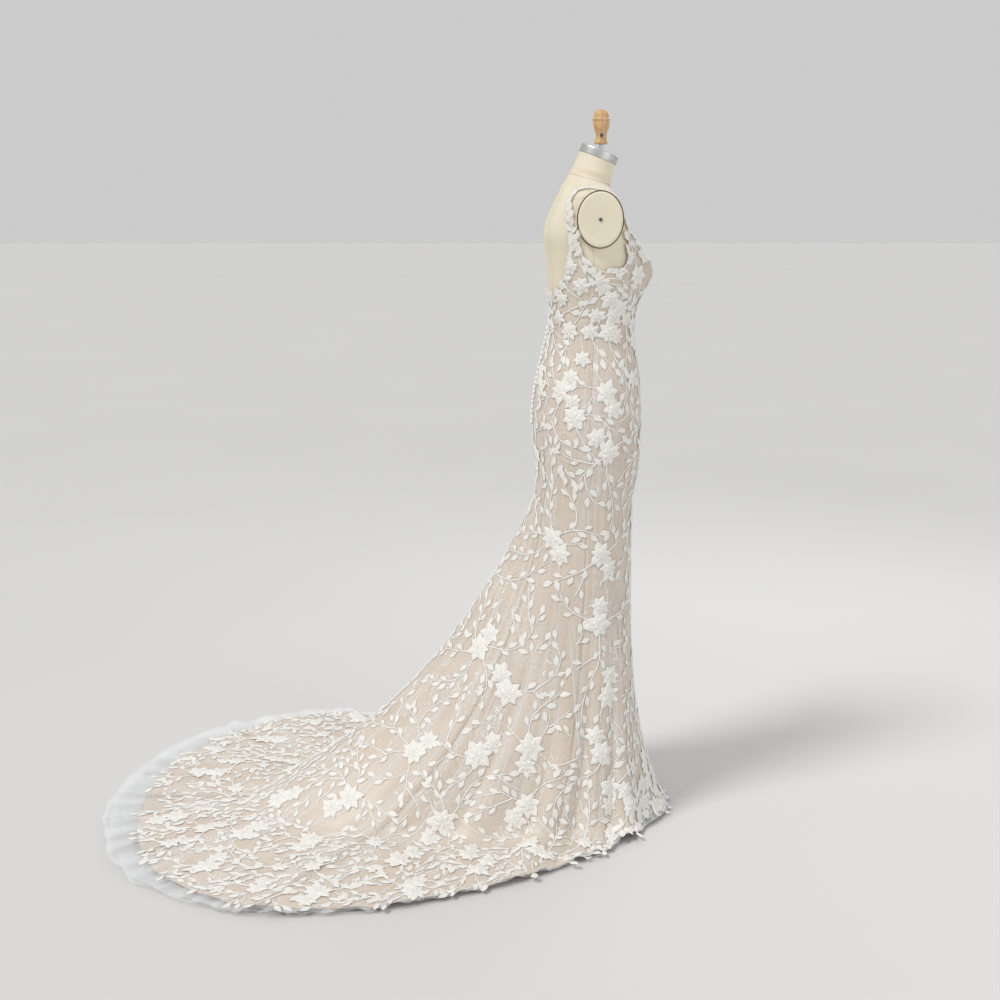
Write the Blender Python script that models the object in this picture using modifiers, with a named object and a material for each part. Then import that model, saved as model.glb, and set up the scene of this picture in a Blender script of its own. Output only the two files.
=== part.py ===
"""Mermaid gown with a train, worn by a limbless dress form on a stand. Metres, +Z up.

The gown faces -Y and its train runs out along +Y. The origin is on the floor, under the stand's pole.
Angles go round the body in degrees: 0 at the centre front, 90 at the wearer's left side (+X), 180 at the
centre back, and negative on the wearer's right. A place on the gown is an angle and a level: level 0 is the
neckline, 1 the waist, 2 the knee, where the flare starts, 3 the lining's hem and 4 the tulle's edge.
"""

import math
from collections import namedtuple

import bmesh
import bpy
import numpy as np
from mathutils import Matrix, Vector
from mathutils.bvhtree import BVHTree
from mathutils.geometry import delaunay_2d_cdt

# Driving sizes
CLOTH = 0.002  # lining, tulle and lace sewn as one wall
TULLE = 0.0012  # the sheer border past the lining's hem
SEAM_GAP = 0.0003
HEM_GAP = 0.0006  # from the gores' hem to the border
EASE = 0.003  # from the form's cover to the cloth
WAIST_Z = 1.24
KNEE_Z = 0.82
COLUMN = 6  # degrees between the wall's columns
RELIEF = 0.0018  # how far a lace flower stands out of the cloth
PETALS = 6
NOTCH = 0.52  # radius between two petals, as a share of the flower's
RELIEF_TOP = 0.90  # a flower's top as a share of its foot

# The bust cups, pushed out of the figure's plain rings
CUP_X = 0.080
CUP_Z = 1.392
CUP_DEPTH = 0.040
FORM_CUP_DEPTH = 0.032
CUP_SPREAD_X = 0.043
CUP_SPREAD_Z = 0.042

# The figure, which the gown's inner face follows down to the knee. A row is a ring: the height of its
# middle, its half width, its front and back in Y, how far it leans forward in degrees, and how square it
# is, 2 for an ellipse.
Ring = namedtuple("Ring", "z half_width front back lean square")
FIGURE = (
    Ring(0.780, 0.170, -0.084, 0.164, 0, 2.3),
    Ring(0.820, 0.171, -0.087, 0.155, 0, 2.3),
    Ring(0.860, 0.172, -0.095, 0.150, 0, 2.3),
    Ring(0.900, 0.174, -0.102, 0.151, 0, 2.3),
    Ring(0.960, 0.177, -0.104, 0.156, 0, 2.3),
    Ring(1.020, 0.176, -0.106, 0.160, 0, 2.3),
    Ring(1.080, 0.168, -0.103, 0.155, 0, 2.3),
    Ring(1.140, 0.154, -0.101, 0.147, 0, 2.3),
    Ring(1.200, 0.136, -0.090, 0.129, 0, 2.3),
    Ring(1.240, 0.129, -0.086, 0.121, 0, 2.3),
    Ring(1.280, 0.130, -0.088, 0.121, 0, 2.3),
    Ring(1.320, 0.136, -0.090, 0.124, 0, 2.3),
    Ring(1.360, 0.144, -0.092, 0.129, 0, 2.3),
    Ring(1.400, 0.150, -0.094, 0.132, 0, 2.3),
    Ring(1.440, 0.153, -0.088, 0.136, 0, 2.4),
    Ring(1.480, 0.157, -0.079, 0.141, 0, 2.7),
    Ring(1.530, 0.159, -0.060, 0.128, 0, 3.0),
    Ring(1.560, 0.157, -0.049, 0.113, 2, 3.0),
    Ring(1.580, 0.147, -0.038, 0.102, 4, 2.8),
    Ring(1.591, 0.118, -0.032, 0.096, 7, 2.5),
    Ring(1.599, 0.090, -0.030, 0.089, 10, 2.3),
    Ring(1.607, 0.066, -0.029, 0.083, 14, 2.1),
    Ring(1.634, 0.054, -0.033, 0.067, 18, 2.1),
    Ring(1.665, 0.049, -0.040, 0.053, 21, 2.1),
)

# The gown's top edge on one side: the V neck, the strap's front root, the armhole, the strap's back root
# and the low back
Edge = namedtuple("Edge", "angle z")
TOP_EDGE = (
    Edge(0, 1.372),
    Edge(12, 1.402),
    Edge(24, 1.446),
    Edge(30, 1.474),
    Edge(36, 1.484),
    Edge(42, 1.484),
    Edge(48, 1.458),
    Edge(54, 1.432),
    Edge(60, 1.412),
    Edge(66, 1.400),
    Edge(78, 1.396),
    Edge(90, 1.408),
    Edge(102, 1.427),
    Edge(108, 1.476),
    Edge(114, 1.476),
    Edge(120, 1.412),
    Edge(126, 1.386),
    Edge(132, 1.366),
    Edge(144, 1.335),
    Edge(156, 1.309),
    Edge(168, 1.284),
    Edge(180, 1.262),
)

# The skirt on one side, below the knee: where a line down the cloth lands on the floor, where it ends, how
# late it flares on the way down, and how much of its end is bare tulle
Line = namedtuple("Line", "angle land_x land_y hem_x hem_y bend border")
SKIRT = (
    Line(0, 0.000, -0.184, 0.000, -0.190, 4.2, 0.020),
    Line(20, 0.103, -0.158, 0.112, -0.170, 4.0, 0.020),
    Line(35, 0.182, -0.108, 0.204, -0.108, 3.3, 0.020),
    Line(50, 0.230, -0.058, 0.290, -0.058, 2.8, 0.020),
    Line(70, 0.260, 0.020, 0.388, 0.043, 2.4, 0.016),
    Line(90, 0.272, 0.110, 0.484, 0.168, 2.05, 0.014),
    Line(110, 0.284, 0.235, 0.582, 0.340, 1.75, 0.014),
    Line(130, 0.290, 0.410, 0.668, 0.586, 1.55, 0.022),
    Line(150, 0.262, 0.630, 0.648, 0.905, 1.35, 0.045),
    Line(165, 0.165, 0.805, 0.434, 1.165, 1.22, 0.080),
    Line(180, 0.000, 0.890, 0.000, 1.280, 1.15, 0.100),
)
LATE_FLARE = 0.3  # share of the flare that comes only near the floor
LATE_BEND = 4
LINE_STEPS = 160
LANDING_BEND = 0.080  # half the length over which the cloth turns from hanging to lying

# The skirt's largest folds: where each ridge runs and its height where it meets the floor
Fold = namedtuple("Fold", "angle height")
FOLDS = (
    Fold(-168, 0.020),
    Fold(-144, 0.024),
    Fold(-120, 0.021),
    Fold(-96, 0.028),
    Fold(-72, 0.019),
    Fold(-48, 0.022),
    Fold(-24, 0.010),
    Fold(0, 0.006),
    Fold(24, 0.010),
    Fold(48, 0.020),
    Fold(72, 0.022),
    Fold(96, 0.026),
    Fold(120, 0.019),
    Fold(144, 0.025),
    Fold(168, 0.018),
)
FOLD_WIDTH = 6.5  # degrees from a ridge to its steepest side
FOLD_START = 0.16  # share of the way from knee to edge where the folds begin
FOLD_ON_FLOOR = 0.35  # what is left of a ridge's height where the cloth ends

# The panels, each between two seams, in degrees
Panel = namedtuple("Panel", "name first last")
PANELS = (
    Panel("front_center", -36, 36),
    Panel("front_side_left", 36, 90),
    Panel("front_side_right", -90, -36),
    Panel("back_side_left", 90, 144),
    Panel("back_side_right", -144, -90),
    Panel("back_center_left", 144, 180),
    Panel("back_center_right", -180, -144),
)
BODICE_ROWS = 9
HIP_ROWS = 6
SKIRT_ROWS = (0.00, 0.09, 0.19, 0.29, 0.39, 0.48, 0.56, 0.63, 0.69, 0.74, 0.79, 0.84, 0.91, 1.00)

# The largest lace flowers of one side, each repeated on the other: place, radius and turn in degrees
Flower = namedtuple("Flower", "angle level radius turn")
FLOWERS = (
    Flower(15, 1.12, 0.032, 0),
    Flower(17, 1.62, 0.033, 25),
    Flower(16, 2.05, 0.034, 5),
    Flower(18, 2.50, 0.035, 40),
    Flower(21, 2.84, 0.036, 0),
    Flower(72, 0.42, 0.027, 0),
    Flower(70, 0.94, 0.029, 15),
    Flower(74, 1.32, 0.032, 30),
    Flower(71, 1.66, 0.034, 10),
    Flower(73, 2.12, 0.031, 40),
    Flower(74, 2.31, 0.034, 20),
    Flower(63, 2.53, 0.036, 5),
    Flower(68, 2.68, 0.036, 35),
    Flower(59, 2.80, 0.034, 20),
    Flower(46, 2.92, 0.031, 0),
    Flower(106, 0.45, 0.025, 25),
    Flower(123, 0.92, 0.026, 5),
    Flower(107, 1.46, 0.030, 15),
    Flower(123, 1.31, 0.030, 40),
    Flower(127, 2.06, 0.034, 10),
    Flower(133, 2.37, 0.036, 30),
    Flower(114, 2.52, 0.036, 20),
    Flower(134, 2.50, 0.036, 5),
    Flower(107, 2.67, 0.036, 45),
    Flower(132, 2.65, 0.037, 15),
    Flower(99, 2.82, 0.036, 0),
    Flower(132, 2.79, 0.037, 35),
    Flower(110, 2.90, 0.036, 10),
    Flower(123, 2.92, 0.036, 25),
    Flower(139, 2.93, 0.037, 0),
    Flower(162, 1.24, 0.032, 20),
    Flower(161, 1.72, 0.033, 5),
    Flower(157, 2.28, 0.035, 35),
    Flower(154, 2.50, 0.037, 0),
    Flower(158, 2.63, 0.037, 20),
    Flower(154, 2.74, 0.037, 45),
    Flower(171, 2.74, 0.038, 10),
    Flower(163, 2.82, 0.038, 30),
    Flower(158, 2.93, 0.038, 0),
    Flower(173, 2.93, 0.038, 20),
)
FLOWER_MARGIN = 0.35  # cells of the wall's grid kept free round a flower
ROW_TILT = 0.05  # cells
STEPS_TO_AIM = 5  # tries to find a point of space on the cloth

# Shoulder straps: points on the left one, front to back, pressed on to the form's shoulder
STRAP_WIDTH = 0.011
STRAP_THICK = 0.002
STRAP_CLEAR = 0.0040
STRAP_ROOTS = (39.0, 111.0)  # degrees
Place = namedtuple("Place", "x y z")
STRAP_PATH = (
    Place(0.104, -0.062, 1.520),
    Place(0.107, -0.046, 1.554),
    Place(0.112, -0.020, 1.580),
    Place(0.119, 0.014, 1.590),
    Place(0.124, 0.042, 1.588),
    Place(0.134, 0.068, 1.560),
    Place(0.142, 0.075, 1.520),
)
STRAP_STEPS = 24

# Covered buttons down the centre back
BUTTONS = 20
BUTTON_PITCH = 0.0124
BUTTON_RADIUS = 0.0055
BUTTON_DOME = 0.65  # depth over radius
FIRST_BUTTON_Z = 1.250

# Loose lace leaves that stand off the low back's edge
LEAF_LENGTH = 0.030
LEAF_WIDTH = 0.014
LEAF_THICK = 0.0015
LEAF_LIFT = 0.002  # from the cloth's edge to the leaf's root
LEAF_ANGLE = 146
LEAF_FORWARD = 0.8  # below 1 the leaf is widest nearer its root
LEAF_SPREAD = 0.35  # how far its tip leans out to the side
LEAF_RISE = 0.18  # and up

# Dress form and stand
TORSO_BOTTOM_Z = 0.860
TORSO_SIDES = 36
TORSO_LEVELS = (  # heights of its rings, closest round the bust and the shoulders
    0.94, 1.02, 1.10, 1.17, 1.24, 1.28, 1.315, 1.34, 1.365, 1.39, 1.415, 1.44, 1.46, 1.48, 1.50, 1.515,
    1.53, 1.545, 1.56, 1.571, 1.58, 1.586,
)
STUMP_Y = 0.008
STUMP_Z = 1.518
STUMP_HALF_WIDTH = 0.056
STUMP_HALF_HEIGHT = 0.068
STUMP_INNER_X = 0.090
STUMP_END_X = 0.161
PLATE_RIM = 0.003  # from the stump's edge to the arm plate's
PLATE_THICK = 0.010
ARM_SCREW_RADIUS = 0.0042
ARM_SCREW_HEAD = 0.0024
CAP_THICK = 0.020
CAP_OVERHANG = 0.0015
ROD_RADIUS = 0.005
FINIAL_Y = -0.002
FINIAL_BASE_Z = 1.697
FINIAL_SCREW_RADIUS = 0.0046
FINIAL_SCREW_LENGTH = 0.005
FINIAL_SCREW_Z = 0.021  # above the finial's base
POLE_RADIUS = 0.016
BASE_RADIUS = 0.155
BASE_THICK = 0.016

# Half the turned finial: height above its base and radius
Turn = namedtuple("Turn", "height radius")
FINIAL = (
    Turn(0.0830, 0.0000),
    Turn(0.0826, 0.0080),
    Turn(0.0800, 0.0140),
    Turn(0.0740, 0.0178),
    Turn(0.0640, 0.0190),
    Turn(0.0615, 0.0196),
    Turn(0.0600, 0.0228),
    Turn(0.0575, 0.0228),
    Turn(0.0560, 0.0200),
    Turn(0.0480, 0.0206),
    Turn(0.0380, 0.0186),
    Turn(0.0290, 0.0146),
    Turn(0.0200, 0.0130),
    Turn(0.0110, 0.0146),
    Turn(0.0050, 0.0168),
    Turn(0.0000, 0.0160),
    Turn(0.0000, 0.0000),
)


def clear_scene():
    for obj in list(bpy.data.objects):
        bpy.data.objects.remove(obj, do_unlink=True)


def new_collection(name):
    collection = bpy.data.collections.new(name)
    bpy.context.scene.collection.children.link(collection)
    return collection


def material(name, color, roughness, metallic=0.0):
    made = bpy.data.materials.new(name)
    made.use_nodes = True
    shader = made.node_tree.nodes["Principled BSDF"]
    shader.inputs["Base Color"].default_value = (*color, 1.0)
    shader.inputs["Roughness"].default_value = roughness
    shader.inputs["Metallic"].default_value = metallic
    return made


def add_object(name, mesh, finish, collection, smooth_angle=40):
    mesh.materials.append(finish)
    mesh.shade_smooth()
    mesh.set_sharp_from_angle(angle=math.radians(smooth_angle))
    obj = bpy.data.objects.new(name, mesh)
    collection.objects.link(obj)
    return obj


def mesh_from_bmesh(name, work):
    mesh = bpy.data.meshes.new(name)
    work.to_mesh(mesh)
    work.free()
    return mesh


def smooth(x, xs, ys):
    """A cubic through the rows (xs, ys), with each row's slope taken from its neighbours."""
    xs, ys = np.asarray(xs, float), np.asarray(ys, float)
    slopes = np.gradient(ys, xs)
    i = np.clip(np.searchsorted(xs, x) - 1, 0, len(xs) - 2)
    step = xs[i + 1] - xs[i]
    t = (x - xs[i]) / step
    rise = 3 * t**2 - 2 * t**3
    lift = t**3 - 2 * t**2 + t
    settle = t**3 - t**2
    return (1 - rise) * ys[i] + rise * ys[i + 1] + step * (lift * slopes[i] + settle * slopes[i + 1])


def ease(t):
    """A soft step from 0 to 1 as t goes from 0 to 1."""
    t = np.clip(t, 0.0, 1.0)
    return t * t * (3 - 2 * t)


def figure_column(name, z):
    """One column of the figure's table at these heights."""
    return smooth(z, [row.z for row in FIGURE], [getattr(row, name) for row in FIGURE])


def figure(angle, z, cup_depth=CUP_DEPTH):
    """Points on the figure at these angles, on the rings whose middles are at these heights."""
    front, back = figure_column("front", z), figure_column("back", z)
    across, along = np.sin(np.radians(angle)), np.cos(np.radians(angle))
    power = figure_column("square", z)
    out = (np.abs(across) ** power + np.abs(along) ** power) ** (-1 / power)
    x = figure_column("half_width", z) * across * out
    from_middle = -(back - front) / 2 * along * out
    height = z + np.tan(np.radians(figure_column("lean", z))) * from_middle
    cup = np.exp(-(((np.abs(x) - CUP_X) / CUP_SPREAD_X) ** 2 + ((z - CUP_Z) / CUP_SPREAD_Z) ** 2) / 2)
    push = cup_depth * cup * ease(along / 0.5)
    return np.stack([x, (front + back) / 2 + from_middle - push, height], axis=-1)


def round_the_body(rows, column, mirrored=False):
    """Angles and values of a one-sided table, carried round both sides and past the centre back."""
    angles = [row.angle for row in rows]
    values = [getattr(row, column) for row in rows]
    sign = -1 if mirrored else 1
    right = [(-a, sign * v) for a, v in zip(angles, values) if 0 < a]
    left = list(zip(angles, values))
    past = [(a + 360, v) for a, v in sorted(right)[1:3]]
    before = [(a - 360, v) for a, v in left[-3:-1]]
    whole = sorted(set(before + right + left + past))
    return [a for a, _ in whole], [v for _, v in whole]


def averaged(lines, half_length):
    """Lines of evenly spaced points with their corners rounded, and their ends kept."""
    spacing = np.linalg.norm(np.diff(lines, axis=1), axis=2).mean(axis=1)
    made = lines.copy()
    for row, gap in enumerate(spacing):
        reach = max(1, int(round(half_length / gap)))
        padded = np.concatenate(
            [
                2 * lines[row, :1] - lines[row, reach:0:-1],
                lines[row],
                2 * lines[row, -1:] - lines[row, -2 : -reach - 2 : -1],
            ]
        )
        weights = np.hanning(2 * reach + 3)[1:-1]
        weights /= weights.sum()
        for axis in range(3):
            made[row, :, axis] = np.convolve(padded[:, axis], weights, mode="valid")
    return made


def evenly(lines, count):
    """Each line read again at count points that are evenly spaced along it."""
    made = np.empty((len(lines), count, 3))
    for row, line in enumerate(lines):
        run = np.concatenate([[0], np.cumsum(np.linalg.norm(np.diff(line, axis=0), axis=1))])
        at = np.linspace(0, run[-1], count)
        for axis in range(3):
            made[row, :, axis] = np.interp(at, run, line[:, axis])
    return made


def skirt_lines(angles):
    """The cloth's inner face below the knee: a line of points from knee to tulle edge at each angle."""
    read = {
        column: smooth(angles, *round_the_body(SKIRT, column, mirrored=column.endswith("_x")))
        for column in ("land_x", "land_y", "hem_x", "hem_y", "bend")
    }
    knee = figure(angles, np.full(len(angles), KNEE_Z))
    fall = np.linspace(0, 1, LINE_STEPS)[None, :]
    out = (1 - LATE_FLARE) * fall ** read["bend"][:, None] + LATE_FLARE * fall**LATE_BEND
    landing = np.stack([read["land_x"], read["land_y"], np.zeros(len(angles))], axis=1)
    hem = np.stack([read["hem_x"], read["hem_y"], np.zeros(len(angles))], axis=1)
    hanging = knee[:, None] + (landing - knee)[:, None] * out[..., None]
    hanging[..., 2] = KNEE_Z * (1 - fall)
    share = np.linspace(0, 1, LINE_STEPS)[1:]
    lying = landing[:, None] + (hem - landing)[:, None] * share[None, :, None]
    lines = averaged(evenly(np.concatenate([hanging, lying], axis=1), LINE_STEPS), LANDING_BEND)
    lines[..., 2] = np.maximum(lines[..., 2], 0)
    lines[:, -1, 2] = 0
    return lines + fold_heights(angles, lines)[..., None] * outward(lines)


def outward(lines):
    """Unit normals of a grid of lines that go round the body, pointing away from it."""
    round_way = np.gradient(lines, axis=0)
    round_way[0] = round_way[-1] = (lines[1] - lines[-2]) / 2
    down_way = np.gradient(lines, axis=1)
    normal = np.cross(down_way, round_way)
    return normal / np.linalg.norm(normal, axis=2, keepdims=True)


def fold_heights(angles, lines):
    """How far the folds lift each point of the skirt's lines off their plain shape."""
    share = np.linspace(0, 1, LINE_STEPS)[None, :]
    hangs = lines[..., 2] > 0.001
    landed = np.where(hangs, share, 0).max(axis=1, keepdims=True)
    growth = ease((share - FOLD_START) / (landed - FOLD_START))
    fade = 1 - (1 - FOLD_ON_FLOOR) * ease((share - landed) / np.maximum(1 - landed, 0.05))
    ridges = np.zeros(len(angles))
    for fold in FOLDS:
        away = (angles - fold.angle + 180) % 360 - 180
        ridges += fold.height * np.exp(-((away / FOLD_WIDTH) ** 2) / 2)
    return ridges[:, None] * growth * fade


LINE_ANGLES = np.linspace(-180, 180, 361)
LINES = skirt_lines(LINE_ANGLES)


def skirt(angle, share):
    """Points on the cloth's inner face at these angles, at these shares of the way from knee to edge."""
    angle, share = np.broadcast_arrays(np.asarray(angle, float), np.asarray(share, float))
    column = np.clip(np.mod(angle + 180, 360), 0, 359.9999)
    step = np.clip(share, 0, 1) * (LINE_STEPS - 1)
    c, s = column.astype(int), np.minimum(step.astype(int), LINE_STEPS - 2)
    u, v = (column - c)[..., None], (step - s)[..., None]
    near = LINES[c, s] * (1 - v) + LINES[c, s + 1] * v
    far = LINES[c + 1, s] * (1 - v) + LINES[c + 1, s + 1] * v
    return near * (1 - u) + far * u


def inner_face(angle, level):
    """Points on the gown's inner face at these angles and levels."""
    angle, level = np.broadcast_arrays(np.asarray(angle, float), np.asarray(level, float))
    turned = np.abs((angle + 180) % 360 - 180)
    top = np.interp(turned, [row.angle for row in TOP_EDGE], [row.z for row in TOP_EDGE])
    bodice = top + (WAIST_Z - top) * level
    hips = WAIST_Z + (KNEE_Z - WAIST_Z) * (level - 1)
    upper = figure(angle, np.maximum(np.where(level < 1, bodice, hips), KNEE_Z))
    run = np.linalg.norm(np.diff(LINES, axis=1), axis=2).sum(axis=1)
    border = np.interp(turned, [row.angle for row in SKIRT], [row.border for row in SKIRT])
    lining_end = 1 - border / np.interp((angle + 180) % 360, LINE_ANGLES + 180, run)
    share = np.where(level < 3, (level - 2) * lining_end, lining_end + (level - 3) * (1 - lining_end))
    return np.where((level <= 2)[..., None], upper, skirt(angle, share))


def slopes(angle, level):
    """How the inner face moves for a degree round the body and for a level down it."""
    da, dv = 0.5, 0.004
    above, below = np.maximum(level - dv, 0), np.minimum(level + dv, 4)
    round_way = (inner_face(angle + da, level) - inner_face(angle - da, level)) / (2 * da)
    down_way = (inner_face(angle, below) - inner_face(angle, above)) / (below - above)[..., None]
    return round_way, down_way


def cloth(angle, level, off):
    """Points on the gown, off its inner face by this much."""
    angle, level = np.broadcast_arrays(np.asarray(angle, float), np.asarray(level, float))
    round_way, down_way = slopes(angle, level)
    normal = np.cross(down_way, round_way)
    normal /= np.linalg.norm(normal, axis=-1, keepdims=True)
    return inner_face(angle, level) + np.asarray(off)[..., None] * normal


def pulled_in(angle, level, inset):
    """The angle that lies this far inside a seam, measured along the cloth. A minus inset goes the other way."""
    round_way, _ = slopes(angle, level)
    return angle + inset / np.linalg.norm(round_way, axis=-1)


def flower_outline(flower, side, share):
    """Angles and levels of a flower's outline, drawn on the cloth at this share of its size."""
    angle = np.full(2 * PETALS, side * float(flower.angle))
    level = np.full(2 * PETALS, float(flower.level))
    round_way, down_way = slopes(angle, level)
    east = round_way / np.linalg.norm(round_way, axis=1, keepdims=True)
    south = down_way - np.sum(down_way * east, axis=1, keepdims=True) * east
    south /= np.linalg.norm(south, axis=1, keepdims=True)
    turn = (math.radians(flower.turn) + np.arange(2 * PETALS) * math.pi / PETALS)[:, None]
    radius = share * flower.radius * np.tile([1, NOTCH], PETALS)[:, None]
    aim = inner_face(angle, level) + radius * (side * np.cos(turn) * east + np.sin(turn) * south)
    for _ in range(STEPS_TO_AIM):
        miss = aim - inner_face(angle, level)
        round_way, down_way = slopes(angle, level)
        rr, dd = np.sum(round_way**2, axis=1), np.sum(down_way**2, axis=1)
        rd = np.sum(round_way * down_way, axis=1)
        mr, md = np.sum(miss * round_way, axis=1), np.sum(miss * down_way, axis=1)
        angle = angle + (mr * dd - md * rd) / (rr * dd - rd * rd)
        level = level + (md * rr - mr * rd) / (rr * dd - rd * rd)
    return angle, level


def holds(outline, point):
    """Whether the outline goes round the point."""
    ahead = np.roll(outline, -1, axis=0)
    crosses = (outline[:, 1] > point[1]) != (ahead[:, 1] > point[1])
    rise = np.where(crosses, ahead[:, 1] - outline[:, 1], 1)
    at = outline[:, 0] + (point[1] - outline[:, 1]) / rise * (ahead[:, 0] - outline[:, 0])
    return bool(np.sum(crosses & (at > point[0])) % 2)


def cells(angle, level, angles, levels):
    """Angles and levels in cells of a wall's grid.

    Its rows tilt away from the strap's root a little, as the cloth's do, so that the net's diagonals follow.
    """
    column = np.interp(angle, angles, range(len(angles)))
    row = np.interp(level, levels, range(len(levels)))
    tilt = ROW_TILT * np.abs(np.abs(angle) - STRAP_ROOTS[0]) / COLUMN
    return np.stack([column, row + tilt], axis=-1)


def net(angles, levels, outlines):
    """A net of triangles over a wall's grid, with outlines worked in and the grid left out beneath them.

    Gives the grid's (row, column) pairs in use, where each outline's points start, all points in cells,
    and the triangles.
    """
    last_row, last_column = len(levels) - 1, len(angles) - 1
    used, places = [], []
    for row, level in enumerate(levels):
        for column, angle in enumerate(angles):
            place = cells(angle, level, angles, levels)
            rim = row in (0, last_row) or column in (0, last_column)
            covered = False
            for outline in outlines:
                middle = (outline.max(axis=0) + outline.min(axis=0)) / 2
                reach = (outline.max(axis=0) - outline.min(axis=0)) / 2 + FLOWER_MARGIN
                covered |= bool(np.sum(((place - middle) / reach) ** 2) < 1)
            if rim or not covered:
                used.append((row, column))
                places.append(place)
    loop = [(0, column) for column in range(last_column)]
    loop += [(row, last_column) for row in range(last_row)]
    loop += [(last_row, column) for column in range(last_column, 0, -1)]
    loop += [(row, 0) for row in range(last_row, 0, -1)]
    ids = [used.index(spot) for spot in loop]
    edges = list(zip(ids, ids[1:] + ids[:1]))
    first = [len(places) + 2 * PETALS * k for k in range(len(outlines))]
    for start, outline in zip(first, outlines):
        places += list(outline)
        edges += [(start + i, start + (i + 1) % (2 * PETALS)) for i in range(2 * PETALS)]
    made = delaunay_2d_cdt([Vector(place) for place in places], edges, [], 1, 1e-7)
    old = [ids[0] for ids in made[3]]
    return used, first, places, [[old[i] for i in face] for face in made[2]]


def wall(name, angles, levels, thick, finish, collection, top_gap=0.0, flowers=()):
    """A wall of cloth between two seams: a net of points on its inner and outer faces, closed at the rims.

    Flowers are (table row, side) pairs, and stand out of the outer face.
    """
    columns, rows = len(angles), len(levels)
    grid_level = np.repeat(np.asarray(levels, float)[:, None], columns, axis=1)
    grid_angle = np.repeat(np.asarray(angles, float)[None, :], rows, axis=0)
    grid_angle[:, 0] = pulled_in(grid_angle[:, 0], grid_level[:, 0], SEAM_GAP / 2)
    grid_angle[:, -1] = pulled_in(grid_angle[:, -1], grid_level[:, -1], -SEAM_GAP / 2)
    if top_gap:
        _, down_way = slopes(grid_angle[0], grid_level[0] + 0.01)
        grid_level[0] += top_gap / np.linalg.norm(down_way, axis=-1)
    outer = cloth(grid_angle, grid_level, thick)
    inner = cloth(grid_angle, grid_level, 0.0)
    inner[..., 2] = np.maximum(inner[..., 2], 0)
    outer[..., 2] = np.maximum(outer[..., 2], 0)

    work = bmesh.new()
    outside = [[work.verts.new(point) for point in line] for line in outer]
    inside = [[work.verts.new(point) for point in line] for line in inner]
    for r in range(rows - 1):
        for c in range(columns - 1):
            corners = ((r, c), (r + 1, c), (r + 1, c + 1), (r, c + 1))
            work.faces.new([inside[i][j] for i, j in reversed(corners)])
            if not flowers:
                work.faces.new([outside[i][j] for i, j in corners])
    if flowers:
        raise_flowers(work, outside, angles, levels, thick, flowers)
    rims = [[(0, c) for c in range(columns)], [(rows - 1, c) for c in range(columns)]]
    rims += [[(r, 0) for r in range(rows)], [(r, columns - 1) for r in range(rows)]]
    for rim in rims:
        for (r, c), (next_r, next_c) in zip(rim, rim[1:]):
            work.faces.new([outside[r][c], outside[next_r][next_c], inside[next_r][next_c]])
            work.faces.new([outside[r][c], inside[next_r][next_c], inside[r][c]])
    bmesh.ops.recalc_face_normals(work, faces=work.faces)
    return add_object(name, mesh_from_bmesh(name, work), finish, collection)


def raise_flowers(work, outside, angles, levels, thick, flowers):
    """The outer face of a wall, with each flower's outline worked in and its middle raised."""
    feet = [flower_outline(flower, side, 1) for flower, side in flowers]
    outlines = [cells(angle, level, angles, levels) for angle, level in feet]
    used, first, places, faces = net(angles, levels, outlines)
    corners = [outside[row][column] for row, column in used]
    tops = {}
    for start, (flower, side), foot in zip(first, flowers, feet):
        corners += [work.verts.new(point) for point in cloth(*foot, thick)]
        top_angle, top_level = flower_outline(flower, side, RELIEF_TOP)
        for i, point in enumerate(cloth(top_angle, top_level, thick + RELIEF)):
            tops[start + i] = work.verts.new(point)
    for face in faces:
        middle = np.mean([places[i] for i in face], axis=0)
        raised = min(face) >= first[0] and any(holds(outline, middle) for outline in outlines)
        work.faces.new([tops[i] if raised else corners[i] for i in face])
    for start in first:
        for i in range(2 * PETALS):
            j = (i + 1) % (2 * PETALS)
            one, other = start + i, start + j
            work.faces.new([corners[one], corners[other], tops[other], tops[one]])
    unused = [vert for line in outside for vert in line if not vert.link_faces]
    bmesh.ops.delete(work, geom=[vert for vert in unused if not vert.link_edges], context="VERTS")


def seam_columns(first, last):
    return np.arange(first, last + COLUMN / 2, COLUMN)


PANEL_LEVELS = np.concatenate(
    [
        np.linspace(0, 1, BODICE_ROWS + 1)[:-1],
        np.linspace(1, 2, HIP_ROWS + 1)[:-1],
        2 + np.array(SKIRT_ROWS),
    ]
)


def gown_panels(finish, collection):
    both_sides = [(flower, side) for flower in FLOWERS for side in (1, -1)]
    for panel in PANELS:
        columns = seam_columns(panel.first, panel.last)
        flowers = [(f, side) for f, side in both_sides if panel.first < side * f.angle < panel.last]
        wall(panel.name, columns, PANEL_LEVELS, CLOTH, finish, collection, flowers=flowers)


def tulle_borders(finish, collection):
    """The bare tulle past the lining's hem, one piece on each side."""
    levels = [3.0, 3.5, 4.0]
    wall("tulle_border_left", seam_columns(0, 180), levels, TULLE, finish, collection, HEM_GAP)
    wall("tulle_border_right", seam_columns(-180, 0), levels, TULLE, finish, collection, HEM_GAP)


def ring_mesh(name, rings):
    """A closed solid through rings of points, listed from the bottom ring to the top one."""
    work = bmesh.new()
    loops = [[work.verts.new(point) for point in ring] for ring in rings]
    sides = len(loops[0])
    for low, high in zip(loops, loops[1:]):
        for i in range(sides):
            j = (i + 1) % sides
            work.faces.new([low[i], low[j], high[j], high[i]])
    work.faces.new(loops[0][::-1])
    work.faces.new(loops[-1])
    bmesh.ops.recalc_face_normals(work, faces=work.faces)
    return mesh_from_bmesh(name, work)


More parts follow.
